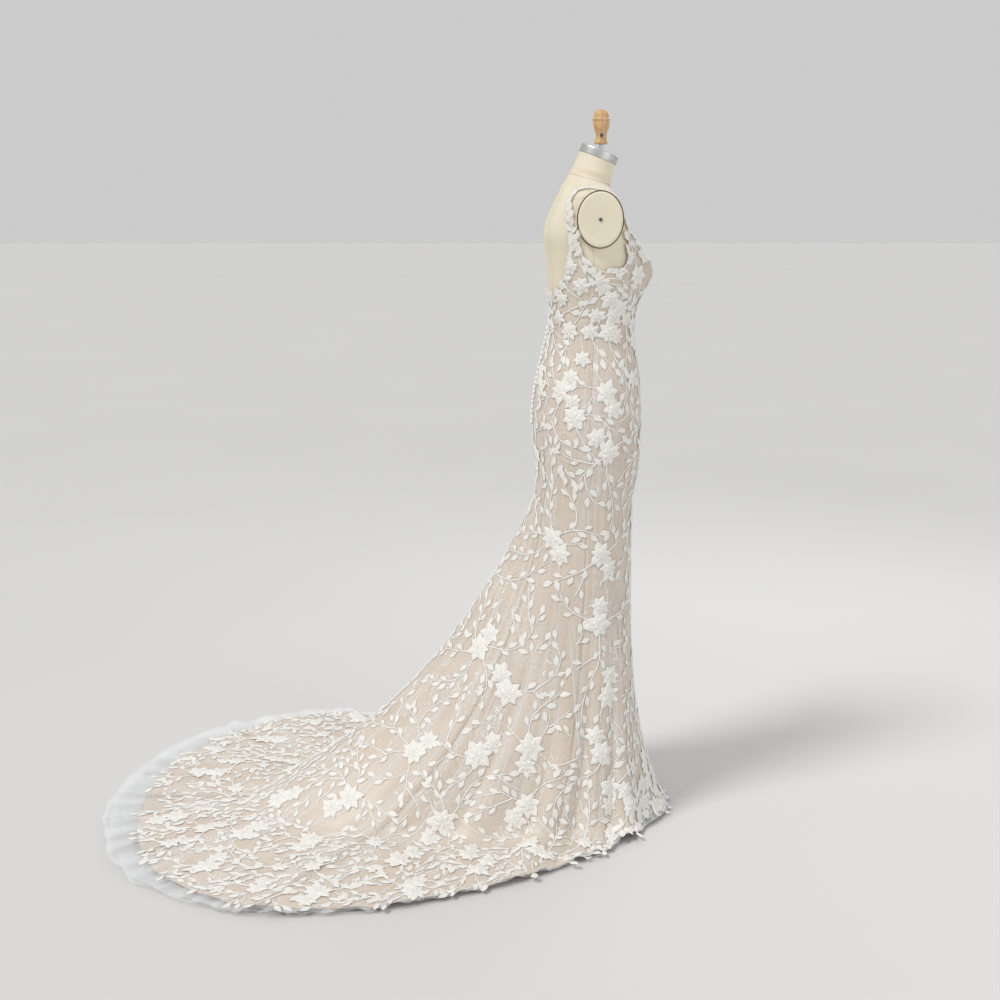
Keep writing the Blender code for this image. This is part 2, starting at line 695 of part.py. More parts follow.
def form_ring(z, inset=EASE):
    """One ring of the form, inside the cloth by the inset."""
    angles = np.arange(TORSO_SIDES) * 360 / TORSO_SIDES
    level = np.full(TORSO_SIDES, z)
    low, high = max(z - 0.002, FIGURE[0].z), min(z + 0.002, FIGURE[-1].z)
    round_way = figure(angles + 0.5, level) - figure(angles - 0.5, level)
    up_way = figure(angles, np.full(TORSO_SIDES, high)) - figure(angles, np.full(TORSO_SIDES, low))
    normal = np.cross(round_way, up_way)
    normal /= np.linalg.norm(normal, axis=1, keepdims=True)
    flat = normal * (1, 1, 0)
    inward = -inset * flat / np.linalg.norm(flat, axis=1, keepdims=True)
    inward[:, 2] = np.tan(np.radians(figure_column("lean", z))) * inward[:, 1]
    return figure(angles, level, FORM_CUP_DEPTH) + inward


def oval_cylinder(name, y, z, half_width, half_height, first_x, last_x, side, sides, bevel=0.0):
    """An oval disc or stub that runs along X from first_x to last_x, on one side of the body."""
    work = bmesh.new()
    bmesh.ops.create_cone(
        work, cap_ends=True, segments=sides, radius1=1, radius2=1, depth=last_x - first_x
    )
    bmesh.ops.scale(work, vec=(half_height, half_width, 1), verts=work.verts)
    if bevel:
        rim = [edge for edge in work.edges if all(v.co.z > 0 for v in edge.verts)]
        bmesh.ops.bevel(work, geom=rim, offset=bevel, segments=2, profile=0.6, affect="EDGES")
    turn = Matrix.Rotation(math.radians(90 * side), 4, "Y")
    place = Matrix.Translation((side * (first_x + last_x) / 2, y, z))
    bmesh.ops.transform(work, matrix=place @ turn, verts=work.verts)
    return mesh_from_bmesh(name, work)


def form_torso(finish, collection, helpers):
    """The padded torso with its neck, and a stub at each shoulder that carries an arm plate."""
    levels = (TORSO_BOTTOM_Z, *TORSO_LEVELS, *[ring.z for ring in FIGURE if ring.z > TORSO_LEVELS[-1]])
    torso = add_object(
        "form_torso", ring_mesh("form_torso", [form_ring(z) for z in levels]), finish, collection
    )
    for side, word in ((1, "left"), (-1, "right")):
        stump = bpy.data.objects.new(
            f"stump_{word}",
            oval_cylinder(
                f"stump_{word}", STUMP_Y, STUMP_Z, STUMP_HALF_WIDTH, STUMP_HALF_HEIGHT,
                STUMP_INNER_X, STUMP_END_X, side, sides=28,
            ),
        )
        stump.data.shade_smooth()
        stump.data.set_sharp_from_angle(angle=math.radians(40))
        helpers.objects.link(stump)
        stump.hide_render = True
        stump.display_type = "WIRE"
        join = torso.modifiers.new(f"stump_{word}", "BOOLEAN")
        join.operation = "UNION"
        join.object = stump
    return torso


def arm_plates(cover, metal, collection):
    for side, word in ((1, "left"), (-1, "right")):
        face = STUMP_END_X + SEAM_GAP
        name = f"form_arm_plate_{word}"
        mesh = oval_cylinder(
            name, STUMP_Y, STUMP_Z, STUMP_HALF_WIDTH - PLATE_RIM, STUMP_HALF_HEIGHT - PLATE_RIM,
            face, face + PLATE_THICK, side, sides=32, bevel=0.004,
        )
        add_object(name, mesh, cover, collection)
        name = f"form_arm_screw_{word}"
        head = face + PLATE_THICK + SEAM_GAP
        mesh = oval_cylinder(
            name, STUMP_Y, STUMP_Z, ARM_SCREW_RADIUS, ARM_SCREW_RADIUS,
            head, head + ARM_SCREW_HEAD, side, sides=12, bevel=0.0008,
        )
        add_object(name, mesh, metal, collection)


def neck_frame():
    """The middle of the neck's top, and the way that the neck points there."""
    top = FIGURE[-1]
    lean = math.radians(top.lean)
    return Vector((0, (top.front + top.back) / 2, top.z)), Vector((0, -math.sin(lean), math.cos(lean)))


def neck_cap(metal, collection):
    """The metal cap on the neck, and the rod that rises from it to the finial."""
    _, up = neck_frame()
    ring = form_ring(FIGURE[-1].z, EASE - CAP_OVERHANG)
    softened = form_ring(FIGURE[-1].z, EASE)
    rise = np.array(up)
    rings = [ring + rise * SEAM_GAP, ring + rise * (CAP_THICK - 0.002), softened + rise * CAP_THICK]
    add_object("form_neck_cap", ring_mesh("form_neck_cap", rings), metal, collection)


def finial(wood, metal, collection):
    """A turned wooden knob on its rod, with the screw that clamps it."""
    profile = bmesh.new()
    points = [profile.verts.new((row.radius, 0, row.height)) for row in FINIAL]
    for one, other in zip(points, points[1:]):
        profile.edges.new((one, other))
    knob = add_object("form_finial", mesh_from_bmesh("form_finial", profile), wood, collection)
    knob.location = (0, FINIAL_Y, FINIAL_BASE_Z)
    turned = knob.modifiers.new("turned", "SCREW")
    turned.steps = turned.render_steps = 24
    turned.use_merge_vertices = True
    turned.merge_threshold = 0.00005
    turned.use_smooth_shade = True

    middle, up = neck_frame()
    top_of_cap = middle + up * CAP_THICK
    slope = math.tan(math.radians(FIGURE[-1].lean))
    cap_z = top_of_cap.z + slope * (FINIAL_Y + ROD_RADIUS - top_of_cap.y)
    rod_low, rod_high = cap_z + SEAM_GAP, FINIAL_BASE_Z - SEAM_GAP
    bpy.ops.mesh.primitive_cylinder_add(
        vertices=16, radius=ROD_RADIUS, depth=rod_high - rod_low,
        location=(0, FINIAL_Y, (rod_low + rod_high) / 2),
    )
    take_active("form_finial_rod", metal, collection)

    heights = [row.height for row in FINIAL[::-1]]
    waist = np.interp(FINIAL_SCREW_Z + FINIAL_SCREW_RADIUS, heights, [row.radius for row in FINIAL[::-1]])
    bpy.ops.mesh.primitive_cylinder_add(
        vertices=12, radius=FINIAL_SCREW_RADIUS, depth=FINIAL_SCREW_LENGTH, rotation=(0, math.pi / 2, 0),
        location=(-waist - SEAM_GAP - FINIAL_SCREW_LENGTH / 2, FINIAL_Y, FINIAL_BASE_Z + FINIAL_SCREW_Z),
    )
    take_active("form_finial_screw", metal, collection)


def take_active(name, finish, collection):
    """Names the primitive just added, gives it its finish and moves it to the collection."""
    obj = bpy.context.object
    obj.name = obj.data.name = name
    obj.data.materials.append(finish)
    obj.data.shade_smooth()
    obj.data.set_sharp_from_angle(angle=math.radians(40))
    for holder in list(obj.users_collection):
        holder.objects.unlink(obj)
    collection.objects.link(obj)
    return obj


def stand(metal, collection):
    bpy.ops.mesh.primitive_cylinder_add(
        vertices=40, radius=BASE_RADIUS, depth=BASE_THICK, location=(0, 0, BASE_THICK / 2)
    )
    base = take_active("form_base", metal, collection)
    rounded = base.modifiers.new("rounded", "BEVEL")
    rounded.width = 0.004
    rounded.segments = 1
    low, high = BASE_THICK + SEAM_GAP, TORSO_BOTTOM_Z - SEAM_GAP
    bpy.ops.mesh.primitive_cylinder_add(
        vertices=24, radius=POLE_RADIUS, depth=high - low, location=(0, 0, (low + high) / 2)
    )
    take_active("form_pole", metal, collection)


def strap_rings(torso):
    """Four-cornered rings of the left strap, laid on the form from the front's top edge to the back's."""
    surface = BVHTree.FromObject(torso, bpy.context.evaluated_depsgraph_get())
    front, back = [Vector(cloth(middle, 0.0, CLOTH / 2)) for middle in STRAP_ROOTS]
    guides = [front, *[Vector(place) for place in STRAP_PATH], back]
    runs = np.linspace(0, 1, len(guides))
    at = np.linspace(0, 1, STRAP_STEPS)
    line = np.stack([smooth(at, runs, [guide[axis] for guide in guides]) for axis in range(3)], axis=1)
    hits = [surface.find_nearest(Vector(place)) for place in line]
    rings = []
    for i in range(STRAP_STEPS):
        low, high = max(i - 1, 0), min(i + 1, STRAP_STEPS - 1)
        out = sum((hit[1] for hit in hits[low : high + 1]), Vector()).normalized()
        ahead = hits[high][0] - hits[low][0]
        across = ahead.cross(out).normalized() * STRAP_WIDTH / 2
        if i in (0, STRAP_STEPS - 1):
            root = Vector(line[i]) + Vector((0, 0, SEAM_GAP))
            across.z = 0
            lift = (out * Vector((1, 1, 0))).normalized() * STRAP_THICK / 2
            corners = ((1, 1), (-1, 1), (-1, -1), (1, -1))
            rings.append([root + across * wide + lift * deep for wide, deep in corners])
            continue
        sides = [surface.find_nearest(hits[i][0] + step)[0] for step in (across, -across)]
        inner = [side + out * STRAP_CLEAR for side in sides]
        outer = [side + out * (STRAP_CLEAR + STRAP_THICK) for side in sides]
        rings.append([outer[0], outer[1], inner[1], inner[0]])
    return rings


def straps(torso, finish, collection):
    """Two narrow bands over the shoulders."""
    rings = strap_rings(torso)
    for side, word in ((1, "left"), (-1, "right")):
        name = f"strap_{word}"
        sided = [[(side * p.x, p.y, p.z) for p in ring] for ring in rings]
        add_object(name, ring_mesh(name, sided), finish, collection)


def buttons(finish, collection):
    """A row of covered buttons down the centre back, standing on the cloth."""
    work = bmesh.new()
    bmesh.ops.create_uvsphere(work, u_segments=8, v_segments=5, radius=BUTTON_RADIUS)
    bmesh.ops.scale(work, vec=(1, BUTTON_DOME, 1), verts=work.verts)
    mesh = mesh_from_bmesh("button", work)
    mesh.materials.append(finish)
    mesh.shade_smooth()
    upper = PANEL_LEVELS[PANEL_LEVELS <= 2]
    seam = cloth(np.full(len(upper), 180.0), upper, CLOTH)[::-1]
    for number in range(BUTTONS):
        z = FIRST_BUTTON_Z - number * BUTTON_PITCH
        y = np.interp(z, seam[:, 2], seam[:, 1])
        button = bpy.data.objects.new(f"button_{number + 1:02d}", mesh)
        button.location = (0, y + BUTTON_RADIUS * BUTTON_DOME + SEAM_GAP, z)
        collection.objects.link(button)


def neckline_leaves(finish, collection):
    """A lace leaf on each side that stands off the edge of the low back."""
    steps = np.linspace(0, 1, 7)
    half = LEAF_WIDTH / 2 * np.sin(np.pi * steps**LEAF_FORWARD)
    upper = [(LEAF_LENGTH * s, h) for s, h in zip(steps, half)]
    lower = [(LEAF_LENGTH * s, -h) for s, h in zip(steps[1:-1], half[1:-1])][::-1]
    outline = upper + lower
    turned = math.radians(LEAF_ANGLE)
    edge = cloth(float(LEAF_ANGLE), 0.0, CLOTH / 2)
    for side, word in ((1, "left"), (-1, "right")):
        out = Vector((side * math.sin(turned) * LEAF_SPREAD, 1, LEAF_RISE)).normalized()
        across = Vector((0, 0, 1)).cross(out).normalized()
        rise = out.cross(across)
        root = Vector((side * edge[0], edge[1], edge[2] + LEAF_LIFT))
        layers = [across * -LEAF_THICK / 2, across * LEAF_THICK / 2]
        rings = [[root + out * u + rise * v + layer for u, v in outline] for layer in layers]
        name = f"neckline_leaf_{word}"
        add_object(name, ring_mesh(name, rings), finish, collection)


def main():
    clear_scene()
    parts = new_collection("mermaid_gown_on_dress_form")
    helpers = new_collection("helpers")
    lace = material("lace_over_satin", (0.80, 0.74, 0.66), 0.55)
    tulle = material("tulle", (0.86, 0.87, 0.88), 0.8)
    ivory = material("ivory_thread", (0.92, 0.90, 0.86), 0.6)
    linen = material("form_cover", (0.84, 0.78, 0.63), 0.8)
    steel = material("brushed_metal", (0.62, 0.62, 0.62), 0.35, 1.0)
    black = material("stand_metal", (0.08, 0.08, 0.09), 0.45, 0.8)
    wood = material("finial_wood", (0.72, 0.50, 0.26), 0.45)
    torso = form_torso(linen, parts, helpers)
    arm_plates(linen, steel, parts)
    neck_cap(steel, parts)
    finial(wood, steel, parts)
    stand(black, parts)
    gown_panels(lace, parts)
    tulle_borders(tulle, parts)
    straps(torso, ivory, parts)
    buttons(ivory, parts)
    neckline_leaves(ivory, parts)


main()
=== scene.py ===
import math

import bpy
import numpy as np
from mathutils.bvhtree import BVHTree
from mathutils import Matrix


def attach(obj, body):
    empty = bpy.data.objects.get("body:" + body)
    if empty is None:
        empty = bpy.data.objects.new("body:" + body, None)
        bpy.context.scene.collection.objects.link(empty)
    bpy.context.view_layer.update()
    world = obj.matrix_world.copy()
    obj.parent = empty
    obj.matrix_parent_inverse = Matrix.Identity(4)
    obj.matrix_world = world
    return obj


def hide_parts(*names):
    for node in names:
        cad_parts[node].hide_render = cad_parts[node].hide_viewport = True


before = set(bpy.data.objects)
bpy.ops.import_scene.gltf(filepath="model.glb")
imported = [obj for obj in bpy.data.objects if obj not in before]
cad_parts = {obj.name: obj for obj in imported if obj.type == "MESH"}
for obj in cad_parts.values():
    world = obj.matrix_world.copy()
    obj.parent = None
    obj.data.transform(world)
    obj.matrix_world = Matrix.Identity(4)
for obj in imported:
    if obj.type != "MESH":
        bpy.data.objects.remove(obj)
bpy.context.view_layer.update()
rng = np.random.default_rng(11)
print("frame loaded,", len(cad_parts), "nodes")

# The gown faces -Y, its train runs along +Y, and the wearer's left is +X. A place on the cloth is an angle
# round the body (0 centre front, 90 wearer's left, 180 centre back) and a distance down the cloth from the
# waist in metres, or a level: 0 neckline, 1 waist, 2 knee, 3 the lining's hem, 4 the tulle's edge.

figure = {
    "rings": (  # height, half width, front, back, lean in degrees, squareness
        (0.780, 0.170, -0.084, 0.164, 0, 2.3),
        (0.820, 0.171, -0.087, 0.155, 0, 2.3),
        (0.860, 0.172, -0.095, 0.150, 0, 2.3),
        (0.900, 0.174, -0.102, 0.151, 0, 2.3),
        (0.960, 0.177, -0.104, 0.156, 0, 2.3),
        (1.020, 0.176, -0.106, 0.160, 0, 2.3),
        (1.080, 0.168, -0.103, 0.155, 0, 2.3),
        (1.140, 0.154, -0.101, 0.147, 0, 2.3),
        (1.200, 0.136, -0.090, 0.129, 0, 2.3),
        (1.240, 0.129, -0.086, 0.121, 0, 2.3),
        (1.280, 0.130, -0.088, 0.121, 0, 2.3),
        (1.320, 0.136, -0.090, 0.124, 0, 2.3),
        (1.360, 0.144, -0.092, 0.129, 0, 2.3),
        (1.400, 0.150, -0.094, 0.132, 0, 2.3),
        (1.440, 0.153, -0.088, 0.136, 0, 2.4),
        (1.480, 0.157, -0.079, 0.141, 0, 2.7),
        (1.530, 0.159, -0.060, 0.128, 0, 3.0),
        (1.560, 0.157, -0.049, 0.113, 2, 3.0),
        (1.580, 0.147, -0.038, 0.102, 4, 2.8),
        (1.591, 0.118, -0.032, 0.096, 7, 2.5),
        (1.599, 0.090, -0.030, 0.089, 10, 2.3),
        (1.607, 0.066, -0.029, 0.083, 14, 2.1),
        (1.634, 0.054, -0.033, 0.067, 18, 2.1),
        (1.665, 0.049, -0.040, 0.053, 21, 2.1),
    ),
    "cupX": 0.080,
    "cupZ": 1.392,
    "cupDepth": 0.040,
    "formCupDepth": 0.032,
    "cupSpreadX": 0.043,
    "cupSpreadZ": 0.042,
    "waistZ": 1.24,
    "kneeZ": 0.82,
    "topZ": 1.60,
}

gown = {
    "topEdge": (  # angle, height of the neckline, armhole and low back
        (0, 1.372), (12, 1.402), (24, 1.446), (30, 1.474), (36, 1.484), (42, 1.484), (48, 1.458), (54, 1.432),
        (60, 1.412), (66, 1.400), (78, 1.396), (90, 1.408), (102, 1.427), (108, 1.476), (114, 1.476),
        (120, 1.412), (126, 1.386), (132, 1.366), (144, 1.335), (156, 1.309), (168, 1.284), (180, 1.262),
    ),
    "skirt": (  # angle, landing x and y, edge x and y, how late it flares, bare tulle at its end
        (0, 0.000, -0.184, 0.000, -0.190, 4.2, 0.020),
        (20, 0.103, -0.158, 0.112, -0.170, 4.0, 0.020),
        (35, 0.182, -0.108, 0.204, -0.108, 3.3, 0.020),
        (50, 0.230, -0.058, 0.290, -0.058, 2.8, 0.020),
        (70, 0.260, 0.020, 0.388, 0.043, 2.4, 0.016),
        (90, 0.272, 0.110, 0.484, 0.168, 2.05, 0.014),
        (110, 0.284, 0.235, 0.582, 0.340, 1.75, 0.014),
        (130, 0.290, 0.410, 0.668, 0.586, 1.55, 0.022),
        (150, 0.262, 0.630, 0.648, 0.905, 1.35, 0.045),
        (165, 0.165, 0.805, 0.434, 1.165, 1.22, 0.080),
        (180, 0.000, 0.890, 0.000, 1.280, 1.15, 0.100),
    ),
    "folds": (  # angle of a ridge, its height where it meets the floor
        (-168, 0.020), (-144, 0.024), (-120, 0.021), (-96, 0.028), (-72, 0.019), (-48, 0.022), (-24, 0.010),
        (0, 0.006), (24, 0.010), (48, 0.020), (72, 0.022), (96, 0.026), (120, 0.019), (144, 0.025), (168, 0.018),
    ),
    "creases": (  # angle, width in degrees, height, share of the skirt where it starts and is full
        (-176, 2.6, 0.007, 0.30, 0.75), (-158, 2.2, 0.006, 0.42, 0.80), (-152, 1.8, -0.005, 0.20, 0.60),
        (-134, 2.4, 0.008, 0.35, 0.72), (-127, 1.6, -0.006, 0.15, 0.55), (-109, 2.2, 0.006, 0.40, 0.85),
        (-103, 1.7, -0.005, 0.12, 0.50), (-87, 1.9, 0.007, 0.30, 0.75), (-80, 1.5, -0.005, 0.25, 0.70),
        (-64, 1.8, 0.005, 0.35, 0.80), (-57, 1.4, -0.004, 0.22, 0.60), (-38, 2.0, 0.004, 0.45, 0.90),
        (-12, 2.2, 0.003, 0.50, 0.90), (11, 2.0, 0.003, 0.45, 0.90), (36, 1.8, 0.005, 0.40, 0.85),
        (59, 1.5, -0.004, 0.20, 0.60), (66, 1.9, 0.006, 0.38, 0.80), (84, 1.7, -0.005, 0.18, 0.55),
        (90, 2.0, 0.006, 0.34, 0.78), (107, 1.8, -0.006, 0.14, 0.52), (112, 2.3, 0.007, 0.42, 0.85),
        (130, 1.7, -0.005, 0.20, 0.60), (137, 2.4, 0.007, 0.36, 0.74), (155, 1.9, 0.006, 0.40, 0.80),
        (161, 1.6, -0.005, 0.24, 0.62), (174, 2.5, 0.006, 0.32, 0.76),
    ),
    "ripples": (  # degrees from crest to crest, height, phase, of the cloth that lies on the floor
        (7.3, 0.0050, 0.4), (11.9, 0.0055, 2.1), (3.1, 0.0022, 4.0),
    ),
    "foldWidth": 6.5,
    "foldStart": 0.16,
    "foldOnFloor": 0.35,
    "lateFlare": 0.3,
    "lateBend": 4,
    "landingBend": 0.080,
    "lineSteps": 320,
    "wall": 0.002,
}

grid = {"columnStep": 0.5, "rowStep": 0.004, "above": -0.345, "below": 1.95}  # degrees and metres


def throughRows(x, xs, ys):
    # a cubic through the rows, with each row's slope taken from its neighbours
    xs, ys = np.asarray(xs, float), np.asarray(ys, float)
    slope = np.gradient(ys, xs)
    i = np.clip(np.searchsorted(xs, x) - 1, 0, len(xs) - 2)
    step = xs[i + 1] - xs[i]
    t = (x - xs[i]) / step
    rise = t * t * (3 - 2 * t)
    bend = (t - 2 * t**2 + t**3) * slope[i] + (t**3 - t**2) * slope[i + 1]
    return (1 - rise) * ys[i] + rise * ys[i + 1] + step * bend


def ease(t):
    t = np.clip(t, 0.0, 1.0)
    return t * t * (3 - 2 * t)


def figureSurface(angle, z, cupDepth=figure["cupDepth"]):
    # a ring at each height: a rounded square power curve between its sides, front and back, leaning
    # forward, and pushed out by a bell-shaped cup on each side of the front
    rows = np.array(figure["rings"])
    halfWidth, front, back, lean, power = [throughRows(z, rows[:, 0], rows[:, k]) for k in range(1, 6)]
    across, along = np.sin(np.radians(angle)), np.cos(np.radians(angle))
    out = (np.abs(across) ** power + np.abs(along) ** power) ** (-1 / power)
    x = halfWidth * across * out
    fromMiddle = -(back - front) / 2 * along * out
    sideways = (np.abs(x) - figure["cupX"]) / figure["cupSpreadX"]
    upDown = (z - figure["cupZ"]) / figure["cupSpreadZ"]
    push = cupDepth * np.exp(-(sideways**2 + upDown**2) / 2) * ease(along / 0.5)
    height = z + np.tan(np.radians(lean)) * fromMiddle
    return np.stack([x, (front + back) / 2 + fromMiddle - push, height], axis=-1)


def roundBody(rows, column, mirrored=False):
    # a table of one side carried round both sides and past the centre back
    sign = -1 if mirrored else 1
    left = [(row[0], row[column]) for row in rows]
    right = [(-a, sign * v) for a, v in left if a > 0]
    past = [(a + 360, v) for a, v in sorted(right)[1:3]]
    before = [(a - 360, v) for a, v in left[-3:-1]]
    whole = sorted(set(before + right + left + past))
    return [a for a, v in whole], [v for a, v in whole]


def outward(lines):
    # unit normals of lines that run down the body, from the cross product of down and round
    roundWay = np.gradient(lines, axis=0)
    roundWay[0] = roundWay[-1] = (lines[1] - lines[-2]) / 2
    normal = np.cross(np.gradient(lines, axis=1), roundWay)
    return normal / np.linalg.norm(normal, axis=2, keepdims=True)


def evenly(lines, count):
    # each line read again at points that are evenly spaced along it
    made = np.empty((len(lines), count, 3))
    for row, line in enumerate(lines):
        run = np.concatenate([[0], np.cumsum(np.linalg.norm(np.diff(line, axis=0), axis=1))])
        at = np.linspace(0, run[-1], count)
        for axis in range(3):
            made[row, :, axis] = np.interp(at, run, line[:, axis])
    return made


def softened(lines, halfLength):
    # a running mean with a bell of weights along each line, with its ends kept
    spacing = np.linalg.norm(np.diff(lines, axis=1), axis=2).mean(axis=1)
    made = lines.copy()
    for row, gap in enumerate(spacing):
        reach = max(1, int(round(halfLength / gap)))
        start = 2 * lines[row, :1] - lines[row, reach:0:-1]
        end = 2 * lines[row, -1:] - lines[row, -2:-reach - 2:-1]
        padded = np.concatenate([start, lines[row], end])
        weights = np.hanning(2 * reach + 3)[1:-1]
        weights /= weights.sum()
        for axis in range(3):
            made[row, :, axis] = np.convolve(padded[:, axis], weights, mode="valid")
    return made


def skirtSurface(angles):
    # from the knee each line falls to where it lands, flaring by a power of the way down, then lies along
    # the floor to its edge; folds, creases and ripples lift it along its normal
    steps = gown["lineSteps"]
    table = [throughRows(angles, *roundBody(gown["skirt"], k, k in (1, 3))) for k in range(1, 6)]
    landX, landY, edgeX, edgeY, bend = table
    knee = figureSurface(angles, np.full(len(angles), figure["kneeZ"]))
    fall = np.linspace(0, 1, steps)[None, :]
    late = gown["lateFlare"]
    out = (1 - late) * fall ** bend[:, None] + late * fall ** gown["lateBend"]
    landing = np.stack([landX, landY, 0 * landX], axis=1)
    edge = np.stack([edgeX, edgeY, 0 * edgeX], axis=1)
    hanging = knee[:, None] + (landing - knee)[:, None] * out[..., None]
    hanging[..., 2] = figure["kneeZ"] * (1 - fall)
    share = np.linspace(0, 1, steps)[1:]
    lying = landing[:, None] + (edge - landing)[:, None] * share[None, :, None]
    lines = softened(evenly(np.concatenate([hanging, lying], axis=1), steps), gown["landingBend"])
    lines[..., 2] = np.maximum(lines[..., 2], 0)
    lines[:, -1, 2] = 0
    lift = foldHeights(angles, lines)
    lines = lines + lift[..., None] * outward(lines)
    lines[..., 2] = np.maximum(lines[..., 2], 0)
    return lines


def foldHeights(angles, lines):
    # bells round each ridge's angle, growing down the skirt and dying away on the floor
    share = np.linspace(0, 1, lines.shape[1])[None, :]
    hangs = lines[..., 2] > 0.001
    landed = np.where(hangs, share, 0).max(axis=1, keepdims=True)
    growth = ease((share - gown["foldStart"]) / (landed - gown["foldStart"]))
    onFloor = ease((share - landed) / np.maximum(1 - landed, 0.05))
    fade = 1 - (1 - gown["foldOnFloor"]) * onFloor
    ridges = np.zeros(len(angles))
    for at, height in gown["folds"]:
        away = (angles - at + 180) % 360 - 180
        ridges += height * np.exp(-((away / gown["foldWidth"]) ** 2) / 2)
    lift = ridges[:, None] * growth * fade
    for at, width, height, start, full in gown["creases"]:
        away = (angles - at + 180) % 360 - 180
        bell = np.exp(-((away / width) ** 2) / 2)
        lift += height * bell[:, None] * ease((share - start) / (full - start)) * (1 - 0.8 * onFloor)
    for gap, height, phase in gown["ripples"]:
        wave = 0.5 + 0.5 * np.sin(2 * np.pi * angles / gap + phase + 1.3 * np.sin(np.radians(3 * angles)))
        lift += height * wave[:, None] * onFloor * ease((1.03 - share) * 20)
    return lift


# One fine grid of the whole cloth, read by every layer that lies on it
columnAngles = np.arange(-180, 180 + grid["columnStep"] / 2, grid["columnStep"])
upperZ = np.linspace(figure["topZ"], figure["kneeZ"], 360)
upper = figureSurface(columnAngles[:, None], upperZ[None, :] + 0 * columnAngles[:, None])
lower = skirtSurface(columnAngles)
wholeLines = np.concatenate([upper, lower[:, 1:]], axis=1)
rowPlaces = np.arange(grid["above"], grid["below"], grid["rowStep"])
clothGrid = np.empty((len(columnAngles), len(rowPlaces), 12))
waistIndex = np.argmin(np.abs(upperZ - figure["waistZ"]))
kneeRun, edgeRun, columnRuns = [], [], []
for i, line in enumerate(wholeLines):
    run = np.concatenate([[0], np.cumsum(np.linalg.norm(np.diff(line, axis=0), axis=1))])
    run -= run[waistIndex]
    columnRuns.append(run[: len(upperZ)])
    kneeRun.append(run[len(upperZ) - 1])
    edgeRun.append(run[-1])
    direction = line[-1] - line[-6]
    direction[2] = 0
    beyond = np.maximum(rowPlaces - run[-1], 0)[:, None] * direction / np.linalg.norm(direction)
    for axis in range(3):
        clothGrid[i, :, axis] = np.interp(rowPlaces, run, line[:, axis]) + beyond[:, axis]
columnRuns, kneeRun, edgeRun = np.array(columnRuns), np.array(kneeRun), np.array(edgeRun)
clothGrid[..., 3:6] = outward(clothGrid[..., :3])
around = np.gradient(clothGrid[..., :3], axis=0) / grid["columnStep"]
around[0] = around[-1] = (clothGrid[1, :, :3] - clothGrid[-2, :, :3]) / (2 * grid["columnStep"])
clothGrid[..., 6:9] = around
clothGrid[..., 9:12] = np.gradient(clothGrid[..., :3], axis=1) / grid["rowStep"]
print("cloth grid", clothGrid.shape)


def readGrid(angle, down):
    # the grid between its four nearest rows and columns: point, normal, way round and way down
    angle, down = np.broadcast_arrays(np.asarray(angle, float), np.asarray(down, float))
    column = np.mod(angle + 180, 360) / grid["columnStep"]
    row = np.clip((down - grid["above"]) / grid["rowStep"], 0, len(rowPlaces) - 1.001)
    c = np.minimum(column.astype(int), len(columnAngles) - 2)
    r = row.astype(int)
    u, v = (column - c)[..., None], (row - r)[..., None]
    near = clothGrid[c, r] * (1 - v) + clothGrid[c, r + 1] * v
    far = clothGrid[c + 1, r] * (1 - v) + clothGrid[c + 1, r + 1] * v
    both = near * (1 - u) + far * u
    return both[..., :3], both[..., 3:6], both[..., 6:9], both[..., 9:12]


def onCloth(angle, down, off):
    point, normal, roundWay, downWay = readGrid(angle, down)
    made = point + np.asarray(off)[..., None] * normal
    made[..., 2] = np.maximum(made[..., 2], 0.0002)
    return made


def downOf(angle, level):
    # the distance below the waist of a level: by height down to the knee, by share of the skirt below it
    angle, level = np.broadcast_arrays(np.asarray(angle, float), np.asarray(level, float))
    turned = np.abs((angle + 180) % 360 - 180)
    topRows = np.array(gown["topEdge"])
    top = throughRows(turned, topRows[:, 0], topRows[:, 1])
    z = np.where(level < 1, top + (figure["waistZ"] - top) * level,
                 figure["waistZ"] + (figure["kneeZ"] - figure["waistZ"]) * (level - 1))
    column = np.mod(angle + 180, 360) / grid["columnStep"]
    c = np.round(column).astype(int) % len(columnAngles)
    place = np.clip((upperZ[0] - z) / (upperZ[0] - upperZ[1]), 0, len(upperZ) - 1.001)
    p = place.astype(int)
    body = columnRuns[c, p] + (columnRuns[c, p + 1] - columnRuns[c, p]) * (place - p)
    knee = np.interp(column, range(len(columnAngles)), kneeRun)
    edge = np.interp(column, range(len(columnAngles)), edgeRun)
    skirtRows = np.array(gown["skirt"])
    border = np.interp(turned, skirtRows[:, 0], skirtRows[:, 6])
    hem = edge - border
    share = np.where(level < 3, knee + (hem - knee) * (level - 2), hem + border * (level - 3))
    return np.where(level <= 2, body, share)


def layFlat(angle, down, u, v, off, steps=3):
    # a flat pattern laid on the cloth round a place: u runs round the body and v down it, and each point is
    # found on the cloth by Newton steps towards its place in the tangent plane
    point, normal, roundWay, downWay = readGrid(angle, down)
    east = roundWay / np.linalg.norm(roundWay, axis=-1, keepdims=True)
    south = downWay - np.sum(downWay * east, axis=-1, keepdims=True) * east
    south /= np.linalg.norm(south, axis=-1, keepdims=True)
    aim = point[..., None, :] + u[..., None] * east[..., None, :] + v[..., None] * south[..., None, :]
    a = np.broadcast_to(np.asarray(angle, float)[..., None], u.shape).copy()
    d = np.broadcast_to(np.asarray(down, float)[..., None], u.shape).copy()
    for k in range(steps):
        point, normal, roundWay, downWay = readGrid(a, d)
        miss = aim - point
        rr, dd = np.sum(roundWay**2, axis=-1), np.sum(downWay**2, axis=-1)
        rd = np.sum(roundWay * downWay, axis=-1)
        mr, md = np.sum(miss * roundWay, axis=-1), np.sum(miss * downWay, axis=-1)
        det = rr * dd - rd * rd
        a += np.clip((mr * dd - md * rd) / det, -12, 12)
        d += np.clip((md * rr - mr * rd) / det, -0.04, 0.04)
    return onCloth(a, d, off)


